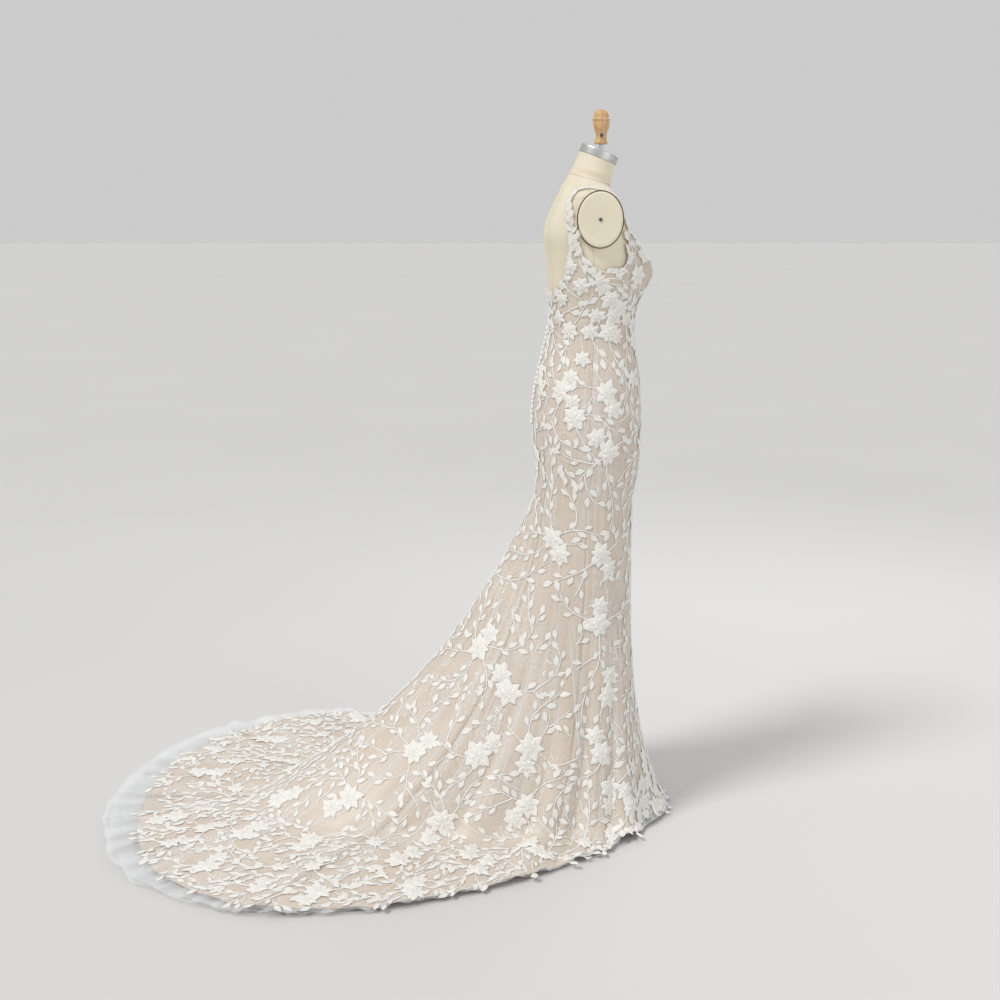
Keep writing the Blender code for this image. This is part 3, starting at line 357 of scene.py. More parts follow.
def gridQuads(rows, columns, copies=1):
    # corner numbers of a grid's squares, repeated for each copy of the grid
    r, c = np.meshgrid(np.arange(rows - 1), np.arange(columns - 1), indexing="ij")
    first = (r * columns + c).ravel()
    one = np.stack([first, first + 1, first + columns + 1, first + columns], axis=1)
    return (one[None] + (np.arange(copies) * rows * columns)[:, None, None]).reshape(-1, 4)


def newPiece(name, points, quads, uv, material, node=None):
    mesh = bpy.data.meshes.new(name)
    points = points.reshape(-1, 3)
    mesh.vertices.add(len(points))
    mesh.vertices.foreach_set("co", points.astype(np.float32).ravel())
    mesh.loops.add(quads.size)
    mesh.loops.foreach_set("vertex_index", quads.astype(np.int32).ravel())
    mesh.polygons.add(len(quads))
    mesh.polygons.foreach_set("loop_start", np.arange(0, quads.size, 4, dtype=np.int32))
    mesh.update(calc_edges=True)
    layer = mesh.uv_layers.new(name="cloth")
    layer.data.foreach_set("uv", uv.reshape(-1, 2)[quads.ravel()].astype(np.float32).ravel())
    mesh.shade_smooth()
    mesh.materials.append(material)
    piece = bpy.data.objects.new(name, mesh)
    bpy.context.scene.collection.objects.link(piece)
    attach(piece, "root")
    if node:
        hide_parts(*([node] if isinstance(node, str) else node))
    return piece


def thicken(piece, thickness):
    shell = piece.modifiers.new("thickness", "SOLIDIFY")
    shell.thickness = thickness
    shell.offset = 1


# Shaders

def newMaterial(name, color, roughness, metallic=0.0):
    made = bpy.data.materials.new(name)
    made.use_nodes = True
    shader = made.node_tree.nodes["Principled BSDF"]
    shader.inputs["Base Color"].default_value = (*color, 1)
    shader.inputs["Roughness"].default_value = roughness
    shader.inputs["Metallic"].default_value = metallic
    return made, made.node_tree, shader


def addNode(tree, kind, **values):
    node = tree.nodes.new(kind)
    for key, value in values.items():
        if key in node.inputs:
            node.inputs[key].default_value = value
        else:
            setattr(node, key, value)
    return node


def mathNode(tree, operation, first, second=None, clamp=False):
    node = tree.nodes.new("ShaderNodeMath")
    node.operation = operation
    node.use_clamp = clamp
    for socket, value in zip(node.inputs, (first, second)):
        if value is None:
            continue
        if isinstance(value, (int, float)):
            socket.default_value = value
        else:
            tree.links.new(value, socket)
    return node.outputs[0]


def rangeNode(tree, value, low, high, toLow=0.0, toHigh=1.0):
    node = tree.nodes.new("ShaderNodeMapRange")
    node.interpolation_type = "SMOOTHSTEP"
    for key, number in (("From Min", low), ("From Max", high), ("To Min", toLow), ("To Max", toHigh)):
        node.inputs[key].default_value = number
    tree.links.new(value, node.inputs["Value"])
    return node.outputs["Result"]


def mixColor(tree, factor, first, second):
    node = tree.nodes.new("ShaderNodeMix")
    node.data_type = "RGBA"
    for socket, value in ((node.inputs[0], factor), (node.inputs[6], first), (node.inputs[7], second)):
        if isinstance(value, tuple):
            socket.default_value = (*value, 1)
        elif isinstance(value, (int, float)):
            socket.default_value = value
        else:
            tree.links.new(value, socket)
    return node.outputs[2]


def newGroup(name, inputs, outputs):
    group = bpy.data.node_groups.new(name, "ShaderNodeTree")
    for label, kind, value in inputs:
        socket = group.interface.new_socket(label, in_out="INPUT", socket_type=kind)
        if value is not None:
            socket.default_value = value
    for label, kind in outputs:
        group.interface.new_socket(label, in_out="OUTPUT", socket_type=kind)
    return group, group.nodes.new("NodeGroupInput"), group.nodes.new("NodeGroupOutput")


def threadGroup():
    # two sets of threads that cross, uneven along their length: up and down, and round
    group, given, result = newGroup(
        "threads",
        [("Vector", "NodeSocketVector", None), ("Fineness", "NodeSocketFloat", 400.0)],
        [("Height", "NodeSocketFloat"), ("Slub", "NodeSocketFloat")],
    )
    heights = []
    for stretch in ((1.0, 1.0, 0.06), (0.06, 0.06, 1.0)):
        shaped = addNode(group, "ShaderNodeVectorMath", operation="MULTIPLY")
        shaped.inputs[1].default_value = stretch
        group.links.new(given.outputs["Vector"], shaped.inputs[0])
        noise = addNode(group, "ShaderNodeTexNoise", Detail=1.5)
        group.links.new(shaped.outputs[0], noise.inputs["Vector"])
        group.links.new(given.outputs["Fineness"], noise.inputs["Scale"])
        heights.append(noise.outputs["Fac"])
    group.links.new(mathNode(group, "MAXIMUM", *heights), result.inputs["Height"])
    slub = addNode(group, "ShaderNodeTexNoise", Scale=9.0, Detail=3.0)
    group.links.new(given.outputs["Vector"], slub.inputs["Vector"])
    group.links.new(slub.outputs["Fac"], result.inputs["Slub"])
    return group


threads = threadGroup()


def useThreads(tree, fineness):
    place = tree.nodes.new("ShaderNodeTexCoord")
    node = tree.nodes.new("ShaderNodeGroup")
    node.node_tree = threads
    node.inputs["Fineness"].default_value = fineness
    tree.links.new(place.outputs["Object"], node.inputs["Vector"])
    return node


def bumpFrom(tree, shader, height, strength, distance):
    bump = addNode(tree, "ShaderNodeBump", Strength=strength, Distance=distance)
    tree.links.new(height, bump.inputs["Height"])
    tree.links.new(bump.outputs["Normal"], shader.inputs["Normal"])


def satinFinish():
    # nude satin, mottled at random by the threads' slub noise between its colour and a darker copy of it that is
    # painted shade, with cream net in its place at the sides and back of the bodice, where it has no lining
    made, tree, shader = newMaterial("champagneSatin", satin["color"], satin["roughness"])
    node = useThreads(tree, satin["fineness"])
    shade = rangeNode(tree, node.outputs["Slub"], 0.35, 0.65)
    # painted shade: the satin's shadow colour, laid in patches by the slub noise
    satinWithPaintedShade = mixColor(tree, shade, satin["shadow"], satin["color"])
    place = tree.nodes.new("ShaderNodeTexCoord")
    parts = tree.nodes.new("ShaderNodeSeparateXYZ")
    tree.links.new(place.outputs["Object"], parts.inputs[0])
    high = rangeNode(tree, parts.outputs[2], *satin["netAboveZ"])
    behind = rangeNode(tree, parts.outputs[1], *satin["netBehindY"])
    bare = mathNode(tree, "MULTIPLY", high, behind)
    tree.links.new(mixColor(tree, bare, satinWithPaintedShade, satin["bareNet"]), shader.inputs["Base Color"])
    bumpFrom(tree, shader, node.outputs["Height"], 0.15, 0.0004)
    shader.inputs["Sheen Weight"].default_value = 0.25
    shader.inputs["Sheen Roughness"].default_value = 0.4
    return made


def netGroup():
    # fine net: threads between see-through cells, streaks where it gathers along the folds, and faint
    # scrolls of thread along the contour lines of a noise
    group, given, result = newGroup(
        "net",
        [("Low Cover", "NodeSocketFloat", 0.1), ("High Cover", "NodeSocketFloat", 0.4),
         ("Scrolls", "NodeSocketFloat", 0.2)],
        [("Alpha", "NodeSocketFloat")],
    )
    place = group.nodes.new("ShaderNodeTexCoord")
    foldMap = group.nodes.new("ShaderNodeUVMap")
    foldMap.uv_map = "cloth"
    cells = addNode(group, "ShaderNodeTexVoronoi", feature="DISTANCE_TO_EDGE", Scale=net["cellsPerMetre"])
    group.links.new(place.outputs["Object"], cells.inputs["Vector"])
    thread = rangeNode(group, cells.outputs["Distance"], 0.05, 0.14, net["thread"], 0.0)
    shaped = addNode(group, "ShaderNodeVectorMath", operation="MULTIPLY")
    shaped.inputs[1].default_value = net["streaks"]
    group.links.new(foldMap.outputs["UV"], shaped.inputs[0])
    streak = addNode(group, "ShaderNodeTexNoise", Scale=1.0, Detail=3.5)
    group.links.new(shaped.outputs[0], streak.inputs["Vector"])
    gathered = rangeNode(group, streak.outputs["Fac"], 0.40, 0.68)
    spread = mathNode(group, "SUBTRACT", given.outputs["High Cover"], given.outputs["Low Cover"])
    veil = mathNode(group, "ADD", given.outputs["Low Cover"], mathNode(group, "MULTIPLY", gathered, spread))
    curls = addNode(group, "ShaderNodeTexNoise", Scale=net["scrollsPerMetre"], Detail=1.0, Distortion=1.6)
    group.links.new(place.outputs["Object"], curls.inputs["Vector"])
    offLine = mathNode(group, "ABSOLUTE", mathNode(group, "SUBTRACT", curls.outputs["Fac"], 0.5))
    line = rangeNode(group, offLine, 0.008, 0.020, 1.0, 0.0)
    patches = addNode(group, "ShaderNodeTexNoise", Scale=7.0, Detail=0.0)
    group.links.new(place.outputs["Object"], patches.inputs["Vector"])
    line = mathNode(group, "MULTIPLY", line, rangeNode(group, patches.outputs["Fac"], 0.42, 0.55))
    scrolls = mathNode(group, "MULTIPLY", line, given.outputs["Scrolls"])
    alpha = mathNode(group, "ADD", mathNode(group, "ADD", veil, thread), scrolls, clamp=True)
    group.links.new(alpha, result.inputs["Alpha"])
    return group


def netFinish(name, lowCover, highCover, scrolls, color=None):
    made, tree, shader = newMaterial(name, color or net["color"], 0.75)
    node = tree.nodes.new("ShaderNodeGroup")
    node.node_tree = netThreads
    for label, value in (("Low Cover", lowCover), ("High Cover", highCover), ("Scrolls", scrolls)):
        node.inputs[label].default_value = value
    tree.links.new(node.outputs["Alpha"], shader.inputs["Alpha"])
    return made


def mapAcross(tree):
    # how far a place is from a strip's or motif's middle line, 0 to 1, and its place along it
    place = tree.nodes.new("ShaderNodeUVMap")
    place.uv_map = "cloth"
    parts = tree.nodes.new("ShaderNodeSeparateXYZ")
    tree.links.new(place.outputs["UV"], parts.inputs[0])
    centred = mathNode(tree, "SUBTRACT", mathNode(tree, "MULTIPLY", parts.outputs[0], 2.0), 1.0)
    return mathNode(tree, "ABSOLUTE", centred), parts.outputs[1]


def pleatFinish():
    # a pressed fold of the net: doubled cloth, closest at its two edges and dying away at its ends
    made, tree, shader = newMaterial("pleatNet", net["color"], 0.7)
    across, along = mapAcross(tree)
    edge = rangeNode(tree, across, 0.55, 0.95, net["pleat"], net["pleatEdge"])
    ends = mathNode(tree, "MULTIPLY", rangeNode(tree, along, 0.0, 0.16), rangeNode(tree, along, 0.80, 1.0, 1.0, 0.0))
    tree.links.new(mathNode(tree, "MULTIPLY", edge, ends), shader.inputs["Alpha"])
    return made


def laceFinish(name, cordAt):
    # a bright cord round a motif's edge and along its vein, hatched between
    made, tree, shader = newMaterial(name, lace["cord"], 0.62)
    across, along = mapAcross(tree)
    edge = rangeNode(tree, across, cordAt - 0.20, cordAt - 0.04)
    vein = rangeNode(tree, across, 0.05, 0.14, 1.0, 0.0)
    cord = mathNode(tree, "MAXIMUM", edge, vein)
    slope = mathNode(tree, "MULTIPLY", across, 7.0)
    slant = mathNode(tree, "ADD", slope, mathNode(tree, "MULTIPLY", along, 60.0))
    hatch = mathNode(tree, "MULTIPLY", mathNode(tree, "ADD", mathNode(tree, "SINE", slant), 1.0), 0.5)
    filled = mathNode(tree, "MAXIMUM", cord, mathNode(tree, "MULTIPLY", hatch, 0.55))
    tree.links.new(mixColor(tree, filled, lace["fill"], lace["cord"]), shader.inputs["Base Color"])
    bumpFrom(tree, shader, filled, 0.6, 0.0004)
    shader.inputs["Sheen Weight"].default_value = 0.2
    return made


def cordFinish():
    # twisted thread: bands that slant along the strip, with painted shade in the grooves between the twists
    made, tree, shader = newMaterial("ivoryCord", lace["cord"], 0.6)
    across, along = mapAcross(tree)
    slant = mathNode(tree, "ADD", mathNode(tree, "MULTIPLY", across, 2.0), mathNode(tree, "MULTIPLY", along, 75.0))
    bands = mathNode(tree, "MULTIPLY", mathNode(tree, "ADD", mathNode(tree, "SINE", slant), 1.0), 0.5)
    # painted shade: the lace's shade colour darkens the grooves of the twist
    tree.links.new(mixColor(tree, bands, lace["shade"], lace["cord"]), shader.inputs["Base Color"])
    bumpFrom(tree, shader, bands, 0.25, 0.0002)
    return made


satin = {
    # shadow is painted shade, a darker copy of the satin's colour mixed into it in random patches
    "color": (0.63, 0.525, 0.415), "shadow": (0.58, 0.475, 0.37), "roughness": 0.42, "fineness": 1400.0,
    "bareNet": (0.66, 0.565, 0.42), "netAboveZ": (1.262, 1.29), "netBehindY": (-0.045, -0.02),
}
net = {
    "color": (0.90, 0.895, 0.88), "cellsPerMetre": 620.0, "streaks": (38.0, 1.6, 1.0), "thread": 0.16,
    "scrollsPerMetre": 30.0, "pleat": 0.20, "pleatEdge": 0.60,
}
# shade is painted shade for the grooves of the twisted cord
lace = {"cord": (0.90, 0.885, 0.85), "fill": (0.73, 0.705, 0.645), "shade": (0.84, 0.82, 0.775)}
netThreads = netGroup()
satinCloth = satinFinish()
overlayNet = netFinish("overlayNet", 0.07, 0.34, 0.45)
pleatNet = pleatFinish()
borderNet = netFinish("borderNet", 0.10, 0.36, 0.10, (0.86, 0.87, 0.88))
laceLeaf = laceFinish("laceLeaf", 0.92)
ivoryCord = cordFinish()

# Satin lining, one shell for each gore
gores = {
    "columns": 2.0,  # degrees
    "shell": 0.0012,
    "rowsOf": (  # node, piece, first and last seam, widest and length of its cut, its flat area
        ("front_center", "frontCenterGore", -36, 36, 0.40, 1.52, 0.34),
        ("front_side_left", "frontSideLeftGore", 36, 90, 0.32, 1.60, 0.25),
        ("front_side_right", "frontSideRightGore", -90, -36, 0.32, 1.60, 0.25),
        ("back_side_left", "backSideLeftGore", 90, 144, 0.60, 1.90, 0.45),
        ("back_side_right", "backSideRightGore", -144, -90, 0.60, 1.90, 0.45),
        ("back_center_left", "backCenterLeftGore", 144, 180, 0.66, 1.90, 0.55),
        ("back_center_right", "backCenterRightGore", -180, -144, 0.66, 1.90, 0.55),
    ),
}


def clothPatch(first, last, columnStep, levels, off):
    # the cloth between two seams: a grid of angles by levels, lifted by off; its map is angle and distance
    angles = np.linspace(first, last, int(round((last - first) / columnStep)) + 1)
    a = np.repeat(angles[None, :], len(levels), axis=0)
    d = downOf(a, np.asarray(levels)[:, None])
    points = onCloth(a, d, off + 0 * a)
    uv = np.stack([a / 100, d], axis=-1)
    return points, uv, gridQuads(len(levels), len(angles))[:, ::-1]


def patchArea(points):
    e1 = points[1:, :-1] - points[:-1, :-1]
    e2 = points[:-1, 1:] - points[:-1, :-1]
    return float(np.linalg.norm(np.cross(e1, e2), axis=-1).sum())


levelRows = np.concatenate([np.linspace(0, 1, 30)[:-1], np.linspace(1, 2, 38)[:-1], np.linspace(2, 3, 110)])
for node, name, first, last, width, length, area in gores["rowsOf"]:
    points, uv, quads = clothPatch(first + 0.03, last - 0.03, gores["columns"], levelRows, 0.0008)
    piece = newPiece(name, points, quads, uv, satinCloth, node)
    thicken(piece, gores["shell"])
    print(name, "area", round(patchArea(points), 3))

# Tulle overlay over the satin, and the bare border that runs on past the hem in two loose layers
overlay = {"columns": 1.0, "off": 0.0030}
for name, first, last in (("tulleOverlayLeft", 0, 180), ("tulleOverlayRight", -180, 0)):
    points, uv, quads = clothPatch(first, last, overlay["columns"], levelRows, overlay["off"])
    piece = newPiece(name, points, quads, uv, overlayNet)
    print(name, "area", round(patchArea(points), 3))

border = {
    "layers": ((2.985, 1.0, 0.0022, 0.0), (3.0, 0.86, 0.0008, 2.4)),  # first level, reach, lift, phase
    "rows": 14,
    "uneven": 0.16,  # of the border's width
    "wave": 0.0050,
    "smallWave": 0.0022,
    "peak": (158.0, 1.1, 0.016),  # angle, width in degrees and height of a turned-up corner
}


def borderLayer(first, last, start, reach, lift, phase):
    # net that lies in waves round its edge: sines of the angle, growing from the hem out
    angles = np.linspace(first, last, int(round((last - first) / 0.5)) + 1)[None, :]
    out = np.linspace(0, 1, border["rows"])[:, None]
    turn = np.radians(angles)
    wave = 0.5 + 0.5 * np.sin(41 * turn + phase + 1.9 * np.sin(9 * turn))
    small = 0.5 + 0.5 * np.sin(97 * turn + 2 * phase + np.sin(17 * turn))
    end = 3 + reach * (1 - border["uneven"] * (0.7 * wave + 0.3 * small))
    level = start + (end - start) * out
    at, width, height = border["peak"]
    corner = height * np.exp(-(((angles - at) / width) ** 2)) * ease((out - 0.4) / 0.6)
    off = lift + out * (border["wave"] * wave + border["smallWave"] * small) + corner
    a = angles + 0 * level
    d = downOf(a, level)
    return onCloth(a, d, off), np.stack([a / 100, d], axis=-1)


for name, node, first, last in (
    ("tulleBorderLeft", "tulle_border_left", 0, 180), ("tulleBorderRight", "tulle_border_right", -180, 0),
):
    layers = [borderLayer(first, last, *layer) for layer in border["layers"]]
    points, uv = [np.stack(both) for both in zip(*layers)]
    quads = gridQuads(border["rows"], points.shape[2], len(layers))[:, ::-1]
    piece = newPiece(name, points, quads, uv, borderNet, node)
    print(name, "area", round(sum(patchArea(layer) for layer in points), 3))

# Pressed folds of the overlay, and the strips of net along the side seams
pleats = {
    "steps": 64,
    "off": 0.0033,
    "rise": 0.0014,
    "cross": ((-1.0, 0.0), (-0.75, 0.7), (-0.25, 1.0), (0.25, 1.0), (0.75, 0.7), (1.0, 0.0)),
    "rowsOf": (  # angle and level of the top and of the foot, width at the top and at the foot
        (-121, 2.10, -98, 2.60, 0.006, 0.013), (-106, 2.18, -74, 2.80, 0.010, 0.030),
        (-72, 2.12, -47, 2.52, 0.006, 0.014), (-62, 2.30, -51, 2.78, 0.008, 0.018),
        (-128, 2.16, -121, 2.72, 0.006, 0.020), (-139, 2.24, -134, 2.80, 0.008, 0.026),
        (-149, 2.30, -146, 2.86, 0.007, 0.022), (-158, 2.20, -156, 2.78, 0.009, 0.024),
        (-170, 2.28, -169, 2.84, 0.008, 0.026), (-30, 2.34, -25, 2.76, 0.007, 0.012),
        (-84, 0.93, -81, 1.58, 0.007, 0.009), (-82, 1.66, -80, 1.98, 0.007, 0.008),
        (119, 2.12, 100, 2.64, 0.006, 0.014), (104, 2.22, 78, 2.78, 0.010, 0.028),
        (70, 2.14, 50, 2.56, 0.006, 0.013), (60, 2.34, 53, 2.80, 0.008, 0.016),
        (131, 2.18, 125, 2.74, 0.006, 0.020), (142, 2.26, 137, 2.82, 0.008, 0.024),
        (152, 2.22, 150, 2.84, 0.007, 0.022), (162, 2.32, 160, 2.80, 0.009, 0.024),
        (176, 2.22, 175, 2.80, 0.008, 0.026), (22, 2.30, 19, 2.74, 0.007, 0.012),
        (84, 0.95, 81, 1.60, 0.007, 0.009), (82, 1.68, 80, 1.96, 0.007, 0.008),
    ),
}


def pleatStrips():
    # each strip runs straight over the cloth from its top to its foot, swaying by a slow sine
    s = np.linspace(0, 1, pleats["steps"])[:, None]
    across, ridge = np.array(pleats["cross"]).T
    made, maps = [], []
    for number, (top, high, foot, low, wide, wider) in enumerate(pleats["rowsOf"]):
        a = top + (foot - top) * s + 0.35 * np.sin(5.1 * s + number)
        start, end = downOf(float(top), high), downOf(float(foot), low)
        d = start + (end - start) * s
        roundWay = readGrid(a, d)[2]
        half = (wide + (wider - wide) * s) / 2 / np.linalg.norm(roundWay, axis=-1)
        made.append(onCloth(a + half * across, d + 0 * across, pleats["off"] + pleats["rise"] * (ridge + 0 * s)))
        maps.append(np.stack(np.broadcast_arrays((across + 1) / 2, s), axis=-1))
    return np.stack(made), np.stack(maps)


points, uv = pleatStrips()
quads = gridQuads(pleats["steps"], len(pleats["cross"]), len(points))[:, ::-1]
piece = newPiece("netPleats", points, quads, uv, pleatNet)
print("netPleats area", round(sum(patchArea(strip) for strip in points), 3))

# Lace, sewn on over the tulle
flowerLace = {
    "rise": 0.0013,
    "off": 0.0036,
    "petals": 7,
    "petalWidth": 0.60,  # of its length
    "innerPetals": 6,
    "innerLength": 0.56,  # of the outer petals'
    "twinFrom": 0.026,  # radius from which a flower has a smaller one beside it
    "twinShare": 0.84,
    "twinAway": 1.32,
    "places": (  # angle, level, radius, turn; each is repeated on the other side
        (15, 1.12, 0.032, 0), (17, 1.62, 0.033, 25), (16, 2.05, 0.034, 5), (18, 2.50, 0.035, 40),
        (21, 2.84, 0.036, 0), (72, 0.42, 0.027, 0), (70, 0.94, 0.029, 15), (74, 1.32, 0.032, 30),
        (71, 1.66, 0.034, 10), (73, 2.12, 0.031, 40), (74, 2.31, 0.034, 20), (63, 2.53, 0.036, 5),
        (68, 2.68, 0.036, 35), (59, 2.80, 0.034, 20), (46, 2.92, 0.031, 0), (106, 0.45, 0.025, 25),
        (123, 0.92, 0.026, 5), (107, 1.46, 0.030, 15), (123, 1.31, 0.030, 40), (127, 2.06, 0.034, 10),
        (133, 2.37, 0.036, 30), (114, 2.52, 0.036, 20), (134, 2.50, 0.036, 5), (107, 2.67, 0.036, 45),
        (132, 2.65, 0.037, 15), (99, 2.82, 0.036, 0), (132, 2.79, 0.037, 35), (110, 2.90, 0.036, 10),
        (123, 2.92, 0.036, 25), (139, 2.93, 0.037, 0), (162, 1.24, 0.032, 20), (161, 1.72, 0.033, 5),
        (157, 2.28, 0.035, 35), (154, 2.50, 0.037, 0), (158, 2.63, 0.037, 20), (154, 2.74, 0.037, 45),
        (171, 2.74, 0.038, 10), (163, 2.82, 0.038, 30), (158, 2.93, 0.038, 0), (173, 2.93, 0.038, 20),
    ),
    "small": (  # the smaller ones between them
        (36, 0.22, 0.023, 10), (50, 0.30, 0.025, 35), (58, 0.62, 0.024, 30), (20, 0.55, 0.023, 0),
        (84, 0.16, 0.021, 20), (95, 0.93, 0.025, 5), (88, 0.70, 0.022, 5), (61, 1.00, 0.021, 25),
        (47, 0.82, 0.022, 15), (33, 0.90, 0.022, 15), (138, 0.62, 0.021, 0), (132, 0.30, 0.021, 15),
        (155, 0.75, 0.021, 20), (104, 1.13, 0.023, 10), (40, 1.25, 0.023, 20), (118, 0.14, 0.019, 0),
        (72, 2.93, 0.026, 30), (148, 2.94, 0.027, 10), (166, 2.95, 0.027, 0), (30, 2.95, 0.025, 20),
        (8, 2.93, 0.025, 0), (58, 2.94, 0.025, 10), (88, 2.93, 0.025, 40), (116, 2.81, 0.028, 15),
        (145, 2.84, 0.028, 5), (150, 2.86, 0.025, 30), (168, 2.88, 0.028, 15), (38, 2.82, 0.025, 0),
        (28, 2.90, 0.025, 15), (177, 2.84, 0.025, 0), (141, 2.72, 0.025, 10), (36, 2.96, 0.022, 30),
    ),
}
leafCross = ((-1.0, 0.0), (-0.84, 1.0), (-0.50, 0.45), (0.0, 0.80), (0.50, 0.45), (0.84, 1.0), (1.0, 0.0))
petalCross = ((-1.0, 0.0), (-0.80, 1.0), (0.0, 0.65), (0.80, 1.0), (1.0, 0.0))


def leafPattern(length, width, turn, bend, stalk, rows, cross):
    # a pointed oval on a stalk: its half width is a sine of the way along past the stalk; across it the rim
    # stands up as a cord and the middle as a vein; its middle line bends to one side by a square of the way
    s = np.linspace(0, 1, rows)[None, :, None]
    across, ridge = np.array(cross).T
    t = across[None, None, :]
    blade = np.clip((s - stalk) / (1 - stalk), 0, 1)
    half = width[:, None, None] / 2 * np.sin(np.pi * blade**0.82) ** 0.85
    half = np.maximum(half, np.where(s < stalk + 0.02, 0.0011, 0.0002))
    along = length[:, None, None] * s + 0 * t
    aside = half * t + bend[:, None, None] * length[:, None, None] * s**2
    c, w = np.cos(turn)[:, None, None], np.sin(turn)[:, None, None]
    u, v = along * c - aside * w, along * w + aside * c
    uv = np.stack(np.broadcast_arrays((t + 1) / 2, s), axis=-1)
    height = ridge[None, None, :] * (0.35 + 0.65 * np.sin(np.pi * np.clip(s, 0.04, 0.96)) ** 0.5)
    return u, v, np.broadcast_to(uv, u.shape + (2,)), np.broadcast_to(height, u.shape)


def leavesPiece(name, lay, length, width, turn, rise, off, bend=0.0, stalk=0.0, rows=7, cross=leafCross):
    # many leaves as one mesh; lay gives the points of flat patterns u, v at a height
    n = len(length)
    bend = np.broadcast_to(bend, (n,))
    u, v, uv, height = leafPattern(length, width, turn, bend, stalk, rows, cross)
    points = lay(u.reshape(n, -1), v.reshape(n, -1), off + rise * height.reshape(n, -1))
    quads = gridQuads(rows, len(cross), n)[:, ::-1]
    piece = newPiece(name, points, quads, uv, laceLeaf)
    print(name, n, "leaves,", len(quads) * 2, "triangles")
    return piece


def layAt(angle, down):
    return lambda u, v, lift: layFlat(angle, down, u, v, lift)


def walkOver(angle, down, heading, step, steps, sway=0.0, phase=0.0, swayLength=1.0):
    # steps over the cloth from a place: the heading swings as a sine of the way that it has gone
    a, d = angle.copy(), down.copy()
    track = [np.stack([a, d, heading], axis=-1)]
    step = np.broadcast_to(step, a.shape)
    for k in range(steps):
        turn = 2 * np.pi * k * step / swayLength
        h = heading + sway * (np.sin(turn + phase) - np.sin(phase))
        point, normal, roundWay, downWay = readGrid(a, d)
        east = roundWay / np.linalg.norm(roundWay, axis=-1, keepdims=True)
        south = downWay - np.sum(downWay * east, axis=-1, keepdims=True) * east
        south /= np.linalg.norm(south, axis=-1, keepdims=True)
        move = step[:, None] * (np.cos(h)[:, None] * east + np.sin(h)[:, None] * south)
        rr, dd = np.sum(roundWay**2, axis=-1), np.sum(downWay**2, axis=-1)
        rd = np.sum(roundWay * downWay, axis=-1)
        mr, md = np.sum(move * roundWay, axis=-1), np.sum(move * downWay, axis=-1)
        det = rr * dd - rd * rd
        a = a + (mr * dd - md * rd) / det
        d = d + (md * rr - mr * rd) / det
        track.append(np.stack([a, d, h], axis=-1))
    return np.stack(track, axis=1)


def bothSides(rows):
    rows = np.array(rows, float)
    other = rows * (-1, 1, 1, -1) + (0, 0, 0, 180)
    return np.concatenate([rows, other])


downWard, upWard = np.pi / 2, -np.pi / 2
flowerRows = np.concatenate([bothSides(flowerLace["places"]), bothSides(flowerLace["small"])])
flowerAngle, flowerDown = flowerRows[:, 0], downOf(flowerRows[:, 0], flowerRows[:, 1])
flowerRadius = flowerRows[:, 2]
rootCount = len(flowerRows)
twins = flowerRadius > flowerLace["twinFrom"]
toTwin = rng.choice([downWard, upWard], rootCount) + rng.uniform(-0.75, 0.75, rootCount)
away = flowerRadius[twins] * flowerLace["twinAway"]
twinPlaces = walkOver(flowerAngle[twins], flowerDown[twins], toTwin[twins], away / 6, 6)[:, -1]
lowest = downOf(twinPlaces[:, 0], 3 + 0 * away) - 0.012
flowerAngle = np.concatenate([flowerAngle, twinPlaces[:, 0]])
flowerDown = np.concatenate([flowerDown, np.minimum(twinPlaces[:, 1], lowest)])
flowerRadius = np.concatenate([flowerRadius, flowerRadius[twins] * flowerLace["twinShare"]])
flowerTurn = np.radians(np.concatenate([flowerRows[:, 3], flowerRows[twins, 3] + 25]))[:, None]
flowerPoints = readGrid(flowerAngle, flowerDown)[0]
flowerOff = flowerLace["off"] + np.where(np.arange(len(flowerAngle)) < rootCount, 0.0006, 0.0)[:, None]


def petalRing(name, count, lengthShare, widthShare, start, rise, off):
    n = len(flowerRadius) * count
    turns = flowerTurn + start + np.arange(count) * 2 * np.pi / count
    turns = (turns + rng.uniform(-0.15, 0.15, turns.shape)).ravel()
    length = np.repeat(flowerRadius, count) * lengthShare * rng.uniform(0.82, 1.10, n)
    return leavesPiece(
        name, layAt(np.repeat(flowerAngle, count), np.repeat(flowerDown, count)), length,
        length * widthShare * rng.uniform(0.88, 1.12, n), turns, rise, np.repeat(flowerOff, count, axis=0) + off,
        bend=rng.uniform(-0.12, 0.12, n), cross=petalCross,
    )


petalRing("lacePetals", flowerLace["petals"], 1.06, flowerLace["petalWidth"], 0.0, flowerLace["rise"], 0.0)
petalRing("laceInnerPetals", flowerLace["innerPetals"], flowerLace["innerLength"], 0.66, 0.4,
          flowerLace["rise"], 0.0009)

# Vines: stems that sway down the cloth with leaves on alternate sides, grown where there is room
vines = {
    "step": 0.006,
    "longest": 44,  # steps
    "sway": 0.55,  # radians to each side
    "swayLength": 0.24,
    "stemWidth": 0.0030,
    "stemRise": 0.0012,
    "off": 0.0034,
    "leafGap": 0.0225,
    "leafLength": 0.0335,  # with its stalk
    "leafWidth": 0.0140,
    "leafTurn": 0.72,
    "leafRoom": 0.0128,
    "stalk": 0.26,
    "room": (  # level, clear space round a stem
        (0.0, 0.0120), (0.9, 0.0130), (1.2, 0.0170), (1.8, 0.0215), (2.15, 0.030), (2.45, 0.030),
        (2.62, 0.024), (2.80, 0.018), (3.0, 0.0140), (4.0, 0.0140),
    ),
    "closer": ((0, 0.85), (40, 0.85), (70, 1.0), (115, 1.0), (142, 0.86), (180, 0.82)),  # angle, share of room
    "overHem": ((0, 0.020), (25, 0.022), (55, 0.024), (85, 0.010), (110, 0.004), (180, 0.004)),
    "leastSteps": 5,
    "branches": 1500,
    "fills": 4200,
}


